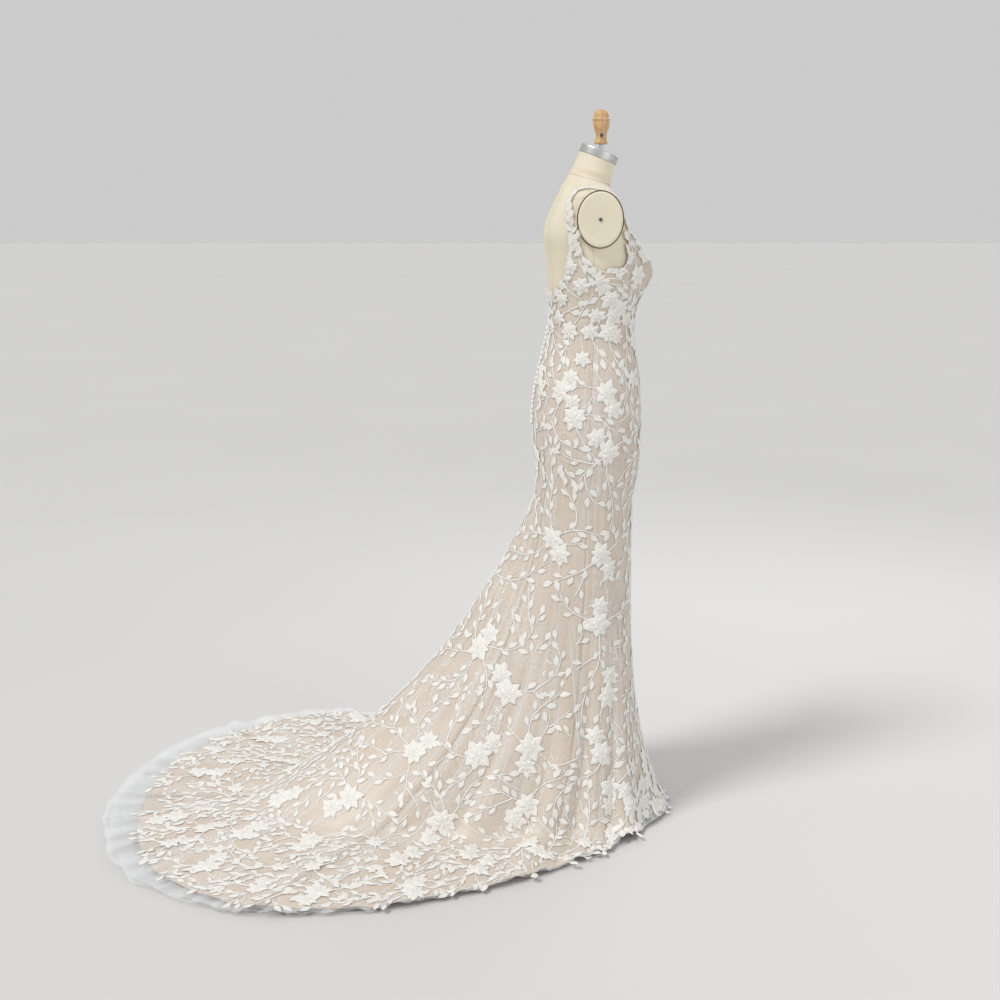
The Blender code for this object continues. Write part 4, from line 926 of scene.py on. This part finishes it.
class Room:
    # which places in space are taken, kept in cubes
    def __init__(self, size):
        self.size, self.cubes = size, {}

    def near(self, p, reach):
        x, y, z = (int(v // self.size) for v in p)
        for i in (x - 1, x, x + 1):
            for j in (y - 1, y, y + 1):
                for k in (z - 1, z, z + 1):
                    for q in self.cubes.get((i, j, k), ()):
                        if math.dist(p, q) < reach:
                            return True
        return False

    def take(self, p):
        self.cubes.setdefault(tuple(int(v // self.size) for v in p), []).append(tuple(p))


taken = Room(0.036)
keptVines = []  # angle, distance and heading at each step, and the first step that is clear of its root


def levelOf(angle, down):
    # about the level of a place, from its distance between the neckline, waist, knee and hem
    zero = 0 * angle
    top, knee, hem = downOf(angle, zero), downOf(angle, zero + 2), downOf(angle, zero + 3)
    above = 1 - down / top
    hips = 1 + down / knee
    return np.where(down < 0, above, np.where(down < knee, hips, 2 + (down - knee) / (hem - knee)))


def turnedOf(angle):
    return np.abs((angle + 180) % 360 - 180)


def roomAt(angle, level):
    room = np.interp(level, *np.array(vines["room"]).T)
    closer = np.interp(turnedOf(angle), *np.array(vines["closer"]).T)
    return room * np.where(level > 2, closer, 1.0)


def chooseVines(angle, down, heading, clear):
    # keeps as much of each vine as has room; its first steps may leave a flower or another stem
    n = len(angle)
    sway = vines["sway"] * rng.uniform(0.4, 1.2, n) * rng.choice([-1, 1], n)
    phase = rng.uniform(0, 2 * np.pi, n)
    track = walkOver(angle, down, heading, vines["step"], vines["longest"], sway, phase, vines["swayLength"])
    points = readGrid(track[..., 0], track[..., 1])[0]
    level = levelOf(track[..., 0], track[..., 1])
    hem, end = [downOf(track[..., 0], k + 0 * level) for k in (3, 4)]
    over = np.interp(turnedOf(track[..., 0]), *np.array(vines["overHem"]).T)
    inside = (level > 0.04) & (track[..., 1] < np.minimum(hem - 0.008 + over, end + 0.004))
    room = roomAt(track[..., 0], level)
    toFlowers = np.full(level.shape, 1.0)
    for centre, radius in zip(flowerPoints, flowerRadius):
        toFlowers = np.minimum(toFlowers, np.linalg.norm(points - centre, axis=-1) - radius)
    steps = np.arange(level.shape[1])[None, :]
    clear = np.broadcast_to(clear, (n,))
    free = inside & ((toFlowers > 0.004) | (steps <= clear[:, None]))
    count = 0
    for i, longest in enumerate(rng.integers(16, vines["longest"] + 1, n)):
        stop = 0
        while stop < longest and free[i, stop]:
            if stop > clear[i] and taken.near(points[i, stop], room[i, stop]):
                break
            stop += 1
        if stop < clear[i] + vines["leastSteps"]:
            continue
        for k in range(max(0, int(clear[i]) - 2), stop):
            taken.take(points[i, k])
        keptVines.append((track[i, :stop], int(clear[i])))
        count += 1
    return count


ways = np.array([downWard, upWard, downWard + 0.95, upWard + 0.95, downWard - 0.95, upWard - 0.95])
order = np.tile(np.arange(rootCount), len(ways))
heading = np.repeat(ways, rootCount) + rng.uniform(-0.3, 0.3, len(order))
clear = np.ceil(flowerRadius[order] / vines["step"]) + 1
fromFlowers = chooseVines(flowerAngle[order], flowerDown[order], heading, clear)

count = vines["branches"]
parents = rng.integers(0, fromFlowers, count)
angle, distance, heading, clear = np.zeros((4, count))
for i, parent in enumerate(parents):
    line, first = keptVines[parent]
    k = rng.integers(first, len(line))
    angle[i], distance[i] = line[k, 0], line[k, 1]
    heading[i] = line[k, 2] + rng.choice([-1, 1]) * 0.85
room = roomAt(angle, levelOf(angle, distance))
branched = chooseVines(angle, distance, heading, np.ceil(room / vines["step"] / 0.72))

count = vines["fills"]
angle = rng.uniform(-180, 180, count)
level = np.where(rng.uniform(size=count) < 0.3, rng.uniform(0.04, 2.0, count), 2 + rng.uniform(0, 1, count) ** 0.7)
heading = rng.choice([downWard, upWard], count) + rng.normal(0, 0.7, count)
filled = chooseVines(angle, downOf(angle, level), heading, -1)
print("vines", fromFlowers, "from flowers,", branched, "branches,", filled, "between")


def ribbons(name, lines, width, rise, off):
    # a stem is a strip four points wide with its middle raised, narrowing to its tip
    places, uvs, quads, start = [], [], [], 0
    across = np.array([-1.0, -0.4, 0.4, 1.0])[None, :]
    for line in lines:
        n = len(line)
        side = across * (width / 2 * np.linspace(1, 0.7, n))[:, None]
        h = line[:, 2][:, None]
        places.append(np.stack([0 * side + line[:, :1], 0 * side + line[:, 1:2], -np.sin(h) * side, np.cos(h) * side]))
        uv = np.stack(np.broadcast_arrays((across + 1) / 2, np.arange(n)[:, None] * 0.2), axis=-1)
        uvs.append(uv.reshape(-1, 2))
        quads.append(gridQuads(n, 4)[:, ::-1] + start)
        start += 4 * n
    angle, distance, u, v = np.concatenate(places, axis=1)
    lift = off + rise * np.array([0.0, 1.0, 1.0, 0.0])[None, :] + 0 * u
    points = layFlat(angle[:, 0], distance[:, 0], u, v, lift, steps=2)
    quads = np.concatenate(quads)
    piece = newPiece(name, points, quads, np.concatenate(uvs), ivoryCord)
    print(name, len(lines), "stems,", len(quads) * 2, "triangles")
    return piece


ribbons("laceStems", [line for line, first in keptVines], vines["stemWidth"], vines["stemRise"], vines["off"])


def vineLeaves():
    # angle, distance, turn, bend and size of a leaf on alternate sides every gap, and one at the tip
    rows = []
    every = vines["leafGap"] / vines["step"]
    for line, first in keptVines:
        side = 1 if len(rows) % 2 else -1
        place = max(first, 0) + 1.0
        while place < len(line) - 2:
            a, d, h = line[int(place)]
            rows.append((a, d, h + side * vines["leafTurn"], -side * 0.18, 1.0))
            side = -side
            place += every * rng.uniform(0.8, 1.15)
        a, d, h = line[-1]
        rows.append((a, d, h, side * 0.08, 1.06))
    rows = np.array(rows)
    rows[:, 4] *= rng.uniform(0.82, 1.10, len(rows))
    rows[:, 2] += rng.uniform(-0.18, 0.18, len(rows))
    middle = vines["leafLength"] * 0.62 * rows[:, 4]
    u, v = middle * np.cos(rows[:, 2]), middle * np.sin(rows[:, 2])
    centres = layFlat(rows[:, 0], rows[:, 1], u[:, None], v[:, None], vines["off"] + 0 * u[:, None])[:, 0]
    here = Room(0.02)
    keep = []
    for centre in centres:
        toFlowers = np.linalg.norm(flowerPoints - centre, axis=1) - flowerRadius * 0.9
        keep.append(toFlowers.min() > 0 and not here.near(centre, vines["leafRoom"]))
        if keep[-1]:
            here.take(centre)
    return rows[np.array(keep)]


leafRows = vineLeaves()
for number, part in enumerate(np.array_split(leafRows, 3), 1):
    leavesPiece(
        f"laceLeaves{number}", layAt(part[:, 0], part[:, 1]), vines["leafLength"] * part[:, 4],
        vines["leafWidth"] * part[:, 4], part[:, 2], 0.0012, vines["off"] + 0.0003,
        bend=part[:, 3], stalk=vines["stalk"],
    )

# Leaves that crowd round the hem, thickest at the front, where their tips hang past it
hemLeaves = {"front": 150, "train": 170, "length": 0.030, "width": 0.0135}
count = hemLeaves["front"] + hemLeaves["train"]
angle = np.concatenate([
    rng.uniform(-62, 62, hemLeaves["front"]),
    rng.uniform(100, 260, hemLeaves["train"]),
])
level = np.concatenate([
    3.0 - rng.uniform(0, 1, hemLeaves["front"]) ** 1.6 * 0.13,
    2.99 - rng.uniform(0, 1, hemLeaves["train"]) ** 1.5 * 0.20,
])
size = rng.uniform(0.8, 1.2, count)
leavesPiece(
    "laceHemLeaves", layAt(angle, downOf(angle, level) - 0.004), hemLeaves["length"] * size,
    hemLeaves["width"] * size, downWard + rng.normal(0, 0.65, count), 0.0012, vines["off"] + 0.0009,
    bend=rng.uniform(-0.2, 0.2, count),
)

# Scalloped trim round the neckline, armholes and low back
trim = {"gap": 0.0120, "length": 0.024, "width": 0.0125, "off": 0.0040, "cord": 0.0024}
edgeAngles = np.arange(-180, 180, 0.25)
edgeDown = downOf(edgeAngles, 0 * edgeAngles)
edgePoints = onCloth(edgeAngles, edgeDown, 0 * edgeAngles)
trimRun = np.concatenate([[0], np.cumsum(np.linalg.norm(np.diff(edgePoints, axis=0), axis=1))])
at = np.arange(0.004, trimRun[-1], trim["gap"])
at = at + rng.uniform(-0.003, 0.003, len(at))
angle = np.interp(at, trimRun, edgeAngles)
distance = np.interp(at, trimRun, edgeDown)
ahead = readGrid(np.interp(at + 0.003, trimRun, edgeAngles), np.interp(at + 0.003, trimRun, edgeDown))[0]
point, normal, roundWay, downWay = readGrid(angle, distance)
east = roundWay / np.linalg.norm(roundWay, axis=-1, keepdims=True)
along = np.arctan2(np.sum((ahead - point) * -np.cross(normal, east), axis=-1), np.sum((ahead - point) * east, axis=-1))
turned = along + rng.choice([0.75, 0.1, -0.45, 1.3], len(at)) + rng.uniform(-0.2, 0.2, len(at))
size = rng.uniform(0.7, 1.15, len(at))
leavesPiece("laceTrimLeaves", layAt(angle, distance + 0.002), trim["length"] * size, trim["width"] * size, turned,
            0.0011, trim["off"])
ribbons("laceTrimCord", [np.stack([angle, distance + 0.0015, along], axis=-1)], trim["cord"], 0.001, trim["off"])
print("lace done")

# Straps: a corded band over each shoulder, with leaves laid on it where it meets the gown
straps = {
    "roots": (39.0, 111.0),  # degrees
    "path": (  # x, y, z on the left, front to back
        (0.104, -0.062, 1.520), (0.107, -0.046, 1.554), (0.112, -0.020, 1.580), (0.119, 0.014, 1.590),
        (0.124, 0.042, 1.588), (0.134, 0.068, 1.560), (0.142, 0.075, 1.520),
    ),
    "steps": 72,
    "width": 0.0085,
    "clear": 0.0045,
    "cross": ((-1.0, 0.0), (-0.75, 1.0), (-0.35, 0.35), (0.35, 0.35), (0.75, 1.0), (1.0, 0.0)),
    "rise": 0.0012,
    "leaves": (  # share of the strap from front to back, side, turn from its line, length
        (0.02, -1, 0.5, 0.024), (0.045, 1, 0.6, 0.022), (0.08, -1, 0.4, 0.020), (0.115, 1, 0.5, 0.018),
        (0.155, -1, 0.4, 0.016), (0.20, 1, 0.35, 0.013), (0.99, 1, 2.6, 0.025), (0.965, -1, 2.5, 0.024),
        (0.935, 1, 2.7, 0.023), (0.905, -1, 2.6, 0.023), (0.875, 1, 2.75, 0.022), (0.845, -1, 2.7, 0.021),
        (0.815, 1, 2.8, 0.020), (0.785, -1, 2.75, 0.018), (0.755, 1, 2.85, 0.016), (0.72, -1, 2.85, 0.014),
    ),
}


def worldTree(*nodes):
    # a search tree over the frame's nodes, in world space
    corners, faces = [], []
    for node in nodes:
        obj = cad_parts[node]
        start = len(corners)
        corners += [obj.matrix_world @ corner.co for corner in obj.data.vertices]
        faces += [[start + i for i in face.vertices] for face in obj.data.polygons]
    return BVHTree.FromPolygons(corners, faces)


def unit(v):
    return v / np.linalg.norm(v, axis=-1, keepdims=True)


def strapFrames():
    # the left strap's line pressed on to the form, with the ways along, across and out of it
    surface = worldTree("form_torso")
    front, back = [onCloth(root, downOf(root, 0.0), 0.001) for root in straps["roots"]]
    guides = np.array([front, *straps["path"], back])
    runs = np.linspace(0, 1, len(guides))
    at = np.linspace(0, 1, straps["steps"])
    line = np.stack([throughRows(at, runs, guides[:, axis]) for axis in range(3)], axis=1)
    hits = [surface.find_nearest(place) for place in line.tolist()]
    out = np.array([hit[1] for hit in hits])
    kernel = np.hanning(13)[1:-1] / np.hanning(13).sum()
    out = unit(np.stack([np.convolve(np.pad(out[:, k], 5, mode="edge"), kernel, "valid") for k in range(3)], axis=1))
    pressed = np.array([hit[0] for hit in hits]) + out * straps["clear"]
    hold = ease(np.minimum(at, 1 - at) / 0.10)[:, None]
    line = line + (pressed - line) * hold
    along = unit(np.gradient(line, axis=0))
    return line, along, unit(np.cross(along, out)), out


line, along, across, out = strapFrames()
place, ridge = np.array(straps["cross"]).T
for side, word in ((1, "Left"), (-1, "Right")):
    flip = np.array((side, 1, 1))
    half = straps["width"] / 2 * place[None, :, None]
    band = (line[:, None] + across[:, None] * half + out[:, None] * straps["rise"] * ridge[None, :, None]) * flip
    s = np.arange(straps["steps"])[:, None] * 0.14
    uv = np.stack(np.broadcast_arrays((place + 1) / 2, s), axis=-1)
    quads = gridQuads(straps["steps"], len(place))[:, ::side]
    piece = newPiece(f"strapBand{word}", band, quads, uv, laceLeaf, f"strap_{word.lower()}")
    thicken(piece, 0.0008)
    rows = np.array(straps["leaves"])
    k = np.round(rows[:, 0] * (straps["steps"] - 1)).astype(int)

    def layOnStrap(u, v, lift):
        there = line[k][:, None] + u[..., None] * along[k][:, None] + v[..., None] * across[k][:, None]
        return (there + lift[..., None] * out[k][:, None]) * flip

    piece = leavesPiece(f"strapLeaves{word}", layOnStrap, rows[:, 3], rows[:, 3] * 0.52, rows[:, 1] * rows[:, 2],
                        0.0011, 0.0014)
    if side < 0:
        piece.data.flip_normals()

# The loose leaf on each side of the low back
looseLeaf = {"length": 0.030, "width": 0.014, "lift": 0.002, "angle": 146.0, "spread": 0.35, "rise": 0.18}
for side, word in ((1, "Left"), (-1, "Right")):
    root = onCloth(looseLeaf["angle"], downOf(looseLeaf["angle"], 0.0), 0.001) * (side, 1, 1)
    root = root + (0, 0, looseLeaf["lift"])
    aim = unit(np.array((side * math.sin(math.radians(looseLeaf["angle"])) * looseLeaf["spread"], 1, looseLeaf["rise"])))
    flat = unit(np.cross((0, 0, 1), aim))
    up = np.cross(aim, flat)
    piece = leavesPiece(
        f"looseLeaf{word}",
        lambda u, v, lift: root + u[..., None] * aim + v[..., None] * up + lift[..., None] * flat,
        np.full(2, looseLeaf["length"]) * (1.0, 0.8), np.full(2, looseLeaf["width"]), np.array((0.0, -0.55)),
        0.001, 0.0, bend=np.array((0.15, -0.1)), rows=12,
    )
    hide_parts(f"neckline_leaf_{word.lower()}")
    thicken(piece, 0.0006)

# Covered buttons, joined as one piece
button = {"radius": 0.0056, "dome": 0.68, "count": 20}
names = [f"button_{number:02d}" for number in range(1, button["count"] + 1)]
centres = np.array([
    np.mean([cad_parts[name].matrix_world @ corner.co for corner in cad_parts[name].data.vertices], axis=0)
    for name in names
])
lat, lon = np.meshgrid(np.linspace(0.001, np.pi - 0.001, 11), np.linspace(0, 2 * np.pi, 21), indexing="ij")
ball = np.stack([np.sin(lat) * np.cos(lon), np.cos(lat) * button["dome"], np.sin(lat) * np.sin(lon)], axis=-1)
points = centres[:, None, None] + ball[None] * button["radius"]
uv = np.broadcast_to(np.stack([lon / 6.3, lat / 3.15], axis=-1)[None], points.shape[:-1] + (2,))
newPiece("coveredButtons", points, gridQuads(11, 21, len(centres)), uv, newMaterial("buttonSatin", (0.88, 0.865, 0.83), 0.38)[0],
         names)

# The dress form: linen cover with seams, arm plates, metal cap and turned finial
form = {
    "inset": 0.003,
    "columns": 181,
    "levels": ((0.862, 1.20, 24), (1.20, 1.54, 60), (1.54, 1.665, 70)),  # from, to, rows
    "neckSeam": 1.613,
    "seamWidth": 0.5,  # degrees
    "plateY": 0.008,
    "plateZ": 1.518,
    "stumpHalf": (0.056, 0.068),
    "stumpX": (0.100, 0.1608),
    "plateHalf": (0.053, 0.065),
    "plateX": (0.1613, 0.1713),
    "plateRound": 0.005,
    "piping": 0.0009,
    "capOverhang": 0.0015,
    "capThick": 0.020,
    "finialY": -0.002,
    "finialZ": 1.697,
    "finial": (  # height above its foot, radius
        (0.0830, 0.0000), (0.0826, 0.0080), (0.0800, 0.0140), (0.0740, 0.0178), (0.0640, 0.0190),
        (0.0615, 0.0196), (0.0600, 0.0228), (0.0575, 0.0228), (0.0560, 0.0200), (0.0480, 0.0206),
        (0.0380, 0.0186), (0.0290, 0.0146), (0.0200, 0.0130), (0.0110, 0.0146), (0.0050, 0.0168),
        (0.0000, 0.0160), (0.0000, 0.0010),
    ),
}


def formSurface(angle, z, inset):
    # the figure with shallower cups, set in towards its middle on each leaning ring
    upWay = figureSurface(angle, np.minimum(z + 0.002, 1.665)) - figureSurface(angle, np.maximum(z - 0.002, 0.78))
    normal = unit(np.cross(figureSurface(angle + 0.5, z) - figureSurface(angle - 0.5, z), upWay))
    inward = -inset * unit(normal * (1, 1, 0) + (0, 0, 1e-9))
    rings = np.array(figure["rings"])
    inward[..., 2] = np.tan(np.radians(throughRows(z, rings[:, 0], rings[:, 4]))) * inward[..., 1]
    return figureSurface(angle, z, figure["formCupDepth"]) + inward


def linenFinish():
    # plain weave, with pressed seams at every 60 degrees, at the centres and round the neck
    made, tree, shader = newMaterial("creamLinen", (0.76, 0.69, 0.54), 0.85)
    node = useThreads(tree, 900.0)
    shade = rangeNode(tree, node.outputs["Slub"], 0.3, 0.7)
    cover = mixColor(tree, shade, (0.73, 0.66, 0.51), (0.79, 0.72, 0.57))
    place = tree.nodes.new("ShaderNodeUVMap")
    place.uv_map = "cloth"
    parts = tree.nodes.new("ShaderNodeSeparateXYZ")
    tree.links.new(place.outputs["UV"], parts.inputs[0])
    degrees = mathNode(tree, "MULTIPLY", parts.outputs[0], 100.0)
    panels = mathNode(tree, "PINGPONG", mathNode(tree, "ADD", degrees, 330.0), 30.0)
    centres = mathNode(tree, "PINGPONG", mathNode(tree, "ADD", degrees, 360.0), 90.0)
    nearest = mathNode(tree, "MINIMUM", panels, centres)
    upright = rangeNode(tree, nearest, 0.12, form["seamWidth"], 1.0, 0.0)
    below = rangeNode(tree, parts.outputs[1], form["neckSeam"] - 0.002, form["neckSeam"], 1.0, 0.0)
    toNeck = mathNode(tree, "ABSOLUTE", mathNode(tree, "SUBTRACT", parts.outputs[1], form["neckSeam"]))
    neck = rangeNode(tree, toNeck, 0.0004, 0.0013, 1.0, 0.0)
    seam = mathNode(tree, "MAXIMUM", mathNode(tree, "MULTIPLY", upright, below), neck)
    seamShare = mathNode(tree, "MULTIPLY", seam, 0.55)
    tree.links.new(mixColor(tree, seamShare, cover, (0.36, 0.29, 0.18)), shader.inputs["Base Color"])
    height = mathNode(tree, "SUBTRACT", mathNode(tree, "MULTIPLY", node.outputs["Height"], 0.5), seam)
    bumpFrom(tree, shader, height, 0.5, 0.0009)
    return made


def ovalRing(half, turn, x, side):
    # an oval about the arm plate's middle at a distance out along X
    y = form["plateY"] + half[0] * np.cos(turn)
    z = form["plateZ"] + half[1] * np.sin(turn)
    return np.stack(np.broadcast_arrays(side * x, y, z), axis=-1)


linen = linenFinish()
formRows = np.concatenate([np.linspace(*step)[:-1] for step in form["levels"]] + [[1.665]])
a, z = np.meshgrid(np.linspace(-180, 180, form["columns"]), formRows, indexing="ij")
body = formSurface(a, z, form["inset"])
bodyMap = np.stack([a / 100, z], axis=-1)
allPoints, allMaps = [body.reshape(-1, 3)], [bodyMap.reshape(-1, 2)]
allQuads, start = [gridQuads(*a.shape)[:, ::-1]], a.size
turn, way = np.meshgrid(np.linspace(0, 2 * np.pi, 73), np.linspace(0, 1, 6), indexing="ij")
for side in (1, -1):
    x = form["stumpX"][0] + (form["stumpX"][1] - form["stumpX"][0]) * way
    tube = ovalRing(form["stumpHalf"], turn, x, side)
    allPoints.append(tube.reshape(-1, 3))
    allMaps.append(np.stack([0.15 + 0 * turn, 1.5 + 0 * turn], axis=-1).reshape(-1, 2))
    allQuads.append(gridQuads(*turn.shape)[:, ::side] + start)
    start += turn.size
piece = newPiece("formTorso", np.concatenate(allPoints), np.concatenate(allQuads), np.concatenate(allMaps), linen,
                 "form_torso")

pipingCord, _, _ = newMaterial("pipingCord", (0.16, 0.13, 0.09), 0.7)
for side, word in ((1, "Left"), (-1, "Right")):
    # the plate's outline in section: flat, then a quarter round, then its side; scaled to each radius
    turn, way = np.meshgrid(np.linspace(0, 2 * np.pi, 97), np.linspace(0, 1, 22), indexing="ij")
    inner, rounded = np.clip(way / 0.45, 0, 1), np.clip((way - 0.45) / 0.35, 0, 1) * np.pi / 2
    last = np.clip((way - 0.80) / 0.20, 0, 1)
    deep = form["plateX"][1] - form["plateX"][0]
    r = form["plateRound"]
    drop = r * (1 - np.cos(rounded)) + (deep - r) * last
    shares = []
    for half in form["plateHalf"]:
        shares.append((half - r) * inner + r * np.sin(rounded))
    plate = ovalRing(shares, turn, form["plateX"][1] - drop, side)
    uv = np.stack([0.15 + 0 * turn, 1.5 + 0 * turn], axis=-1)
    newPiece(f"armPlate{word}", plate, gridQuads(*turn.shape)[:, ::-side], uv, linen,
             f"form_arm_plate_{word.lower()}")
    round_, ring = np.meshgrid(np.linspace(0, 2 * np.pi, 9), np.linspace(0, 2 * np.pi, 97), indexing="ij")
    t = form["piping"]
    halves = [half + 0.0006 + t * np.cos(round_) for half in form["plateHalf"]]
    cord = ovalRing(halves, ring, form["plateX"][0] + 0.0006 + t * np.sin(round_), side)
    uv = np.stack([ring, round_], axis=-1)
    newPiece(f"armPiping{word}", cord, gridQuads(*ring.shape)[:, ::-side], uv, pipingCord)


def lineFinish(name, dark, light, roughness, metallic, stretch, scale):
    # fine lines of a brushed or turned surface: noise drawn out one way
    made, tree, shader = newMaterial(name, light, roughness, metallic)
    place = tree.nodes.new("ShaderNodeTexCoord")
    shaped = addNode(tree, "ShaderNodeVectorMath", operation="MULTIPLY")
    shaped.inputs[1].default_value = stretch
    tree.links.new(place.outputs["Object"], shaped.inputs[0])
    noise = addNode(tree, "ShaderNodeTexNoise", Scale=scale, Detail=4.0)
    tree.links.new(shaped.outputs[0], noise.inputs["Vector"])
    lines = rangeNode(tree, noise.outputs["Fac"], 0.32, 0.68)
    tree.links.new(mixColor(tree, lines, dark, light), shader.inputs["Base Color"])
    tree.links.new(rangeNode(tree, noise.outputs["Fac"], 0.3, 0.7, roughness + 0.08, roughness - 0.05),
                   shader.inputs["Roughness"])
    bumpFrom(tree, shader, noise.outputs["Fac"], 0.12, 0.0003)
    return made


brushedMetal = lineFinish("brushedMetal", (0.52, 0.52, 0.52), (0.66, 0.66, 0.655), 0.42, 1.0, (1.0, 1.0, 14.0), 60.0)
turnedWood = lineFinish("turnedWood", (0.52, 0.31, 0.13), (0.68, 0.45, 0.22), 0.38, 0.0, (9.0, 9.0, 1.0), 24.0)
darkSteel = lineFinish("darkSteel", (0.10, 0.10, 0.10), (0.18, 0.18, 0.18), 0.35, 1.0, (1.0, 1.0, 6.0), 90.0)
blackEnamel = lineFinish("blackEnamel", (0.028, 0.028, 0.03), (0.04, 0.04, 0.042), 0.4, 0.0, (1.0, 1.0, 1.0), 200.0)

lean = math.radians(figure["rings"][-1][4])
neckUp = np.array((0, -math.sin(lean), math.cos(lean)))
neckAngles = np.linspace(-180, 180, 121)
rim = formSurface(neckAngles, np.full(121, 1.665), form["inset"] - form["capOverhang"])
middle = (rim.max(axis=0) + rim.min(axis=0)) / 2
profile = ((1.0, 0.0003), (1.0, 0.004), (1.0, 0.010), (1.0, 0.0165), (0.992, 0.0188), (0.97, 0.0198), (0.93, 0.02),
           (0.5, 0.02), (0.0, 0.02))  # share of the rim, height
cap = np.stack([middle + (rim - middle) * share + neckUp * height for share, height in profile], axis=1)
uv = np.stack(np.broadcast_arrays(neckAngles[:, None] / 360, np.linspace(0, 1, len(profile))[None, :]), axis=-1)
newPiece("neckCap", cap, gridQuads(121, len(profile))[:, ::-1], uv, brushedMetal, "form_neck_cap")

knob = np.array(form["finial"])
knobRun = np.concatenate([[0], np.cumsum(np.linalg.norm(np.diff(knob, axis=0), axis=1))])
along = np.linspace(0, knobRun[-1], 110)
height = np.interp(along, knobRun, knob[:, 0])
radius = np.interp(along, knobRun, knob[:, 1])
bell = np.hanning(9)[1:-1] / np.hanning(9).sum()
height[3:-3], radius[3:-3] = np.convolve(height, bell, "valid"), np.convolve(radius, bell, "valid")
turn = np.linspace(0, 2 * np.pi, 65)[:, None]
turned = np.stack(np.broadcast_arrays(radius * np.cos(turn), form["finialY"] + radius * np.sin(turn),
                                      form["finialZ"] + height + 0 * turn), axis=-1)
uv = np.stack(np.broadcast_arrays(turn / 6.3, along[None, :] * 10), axis=-1)
newPiece("turnedFinial", turned, gridQuads(65, 110)[:, ::-1], uv, turnedWood, "form_finial")


def finishNodes(material, *nodes):
    for node in nodes:
        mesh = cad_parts[node].data
        mesh.materials.clear()
        mesh.materials.append(material)


finishNodes(brushedMetal, "form_finial_rod")
finishNodes(darkSteel, "form_finial_screw", "form_arm_screw_left", "form_arm_screw_right")
finishNodes(blackEnamel, "form_pole", "form_base")
print("form done")

# Floor, light and camera
studio = {
    "camera": (-3.76, 0.245, 1.55),
    "pitch": 11.1,
    "lens": 54.0,
    "tone": 0.60,  # of the floor and the air alike
    "lights": (  # name, kind, place, aim, size (degrees for the sun), power
        ("keyLight", "SUN", (-1.3, 1.7, 2.7), (0.0, 0.0, 0.0), 16.0, 1.75),
        ("fillLight", "AREA", (-3.0, -2.6, 2.0), (0.0, 0.0, 0.8), 2.4, 26),
        ("rimLight", "AREA", (2.6, -1.2, 2.8), (0.0, 0.2, 0.9), 1.8, 22),
    ),
}
paleFloor, tree, shader = newMaterial("paleFloor", (0.62, 0.615, 0.61), 0.8)
cloud = addNode(tree, "ShaderNodeTexNoise", Scale=0.7, Detail=2.0)
place = tree.nodes.new("ShaderNodeTexCoord")
tree.links.new(place.outputs["Object"], cloud.inputs["Vector"])
tree.links.new(mixColor(tree, cloud.outputs["Fac"], (0.605, 0.60, 0.595), (0.635, 0.63, 0.625)), shader.inputs["Base Color"])
bpy.ops.mesh.primitive_plane_add(size=120, location=(0, 0, -0.0005))
floor = bpy.context.object
floor.name = "floor"
floor.data.materials.append(paleFloor)
world = bpy.data.worlds.new("studio")
bpy.context.scene.world = world
world.use_nodes = True
world.node_tree.nodes["Background"].inputs["Color"].default_value = (1.0, 1.0, 1.0, 1)
world.node_tree.nodes["Background"].inputs["Strength"].default_value = studio["tone"]
bpy.context.scene.view_settings.view_transform = "Standard"


def pointAt(obj, place, aim):
    obj.location = place
    away = np.array(place) - np.array(aim)
    obj.rotation_euler = (math.acos(away[2] / np.linalg.norm(away)), 0, math.atan2(away[0], -away[1]))


for name, kind, place, aim, size, power in studio["lights"]:
    light = bpy.data.lights.new(name, kind)
    if kind == "SUN":
        light.angle = math.radians(size)
    else:
        light.size = size
    light.energy = power
    lamp = bpy.data.objects.new(name, light)
    bpy.context.scene.collection.objects.link(lamp)
    pointAt(lamp, place, aim)

camera = bpy.data.objects.new("camera", bpy.data.cameras.new("camera"))
bpy.context.scene.collection.objects.link(camera)
camera.data.lens = studio["lens"]
camera.data.sensor_width = 36
camera.location = studio["camera"]
camera.rotation_euler = (math.radians(90 - studio["pitch"]), 0, math.radians(-90))
bpy.context.scene.camera = camera
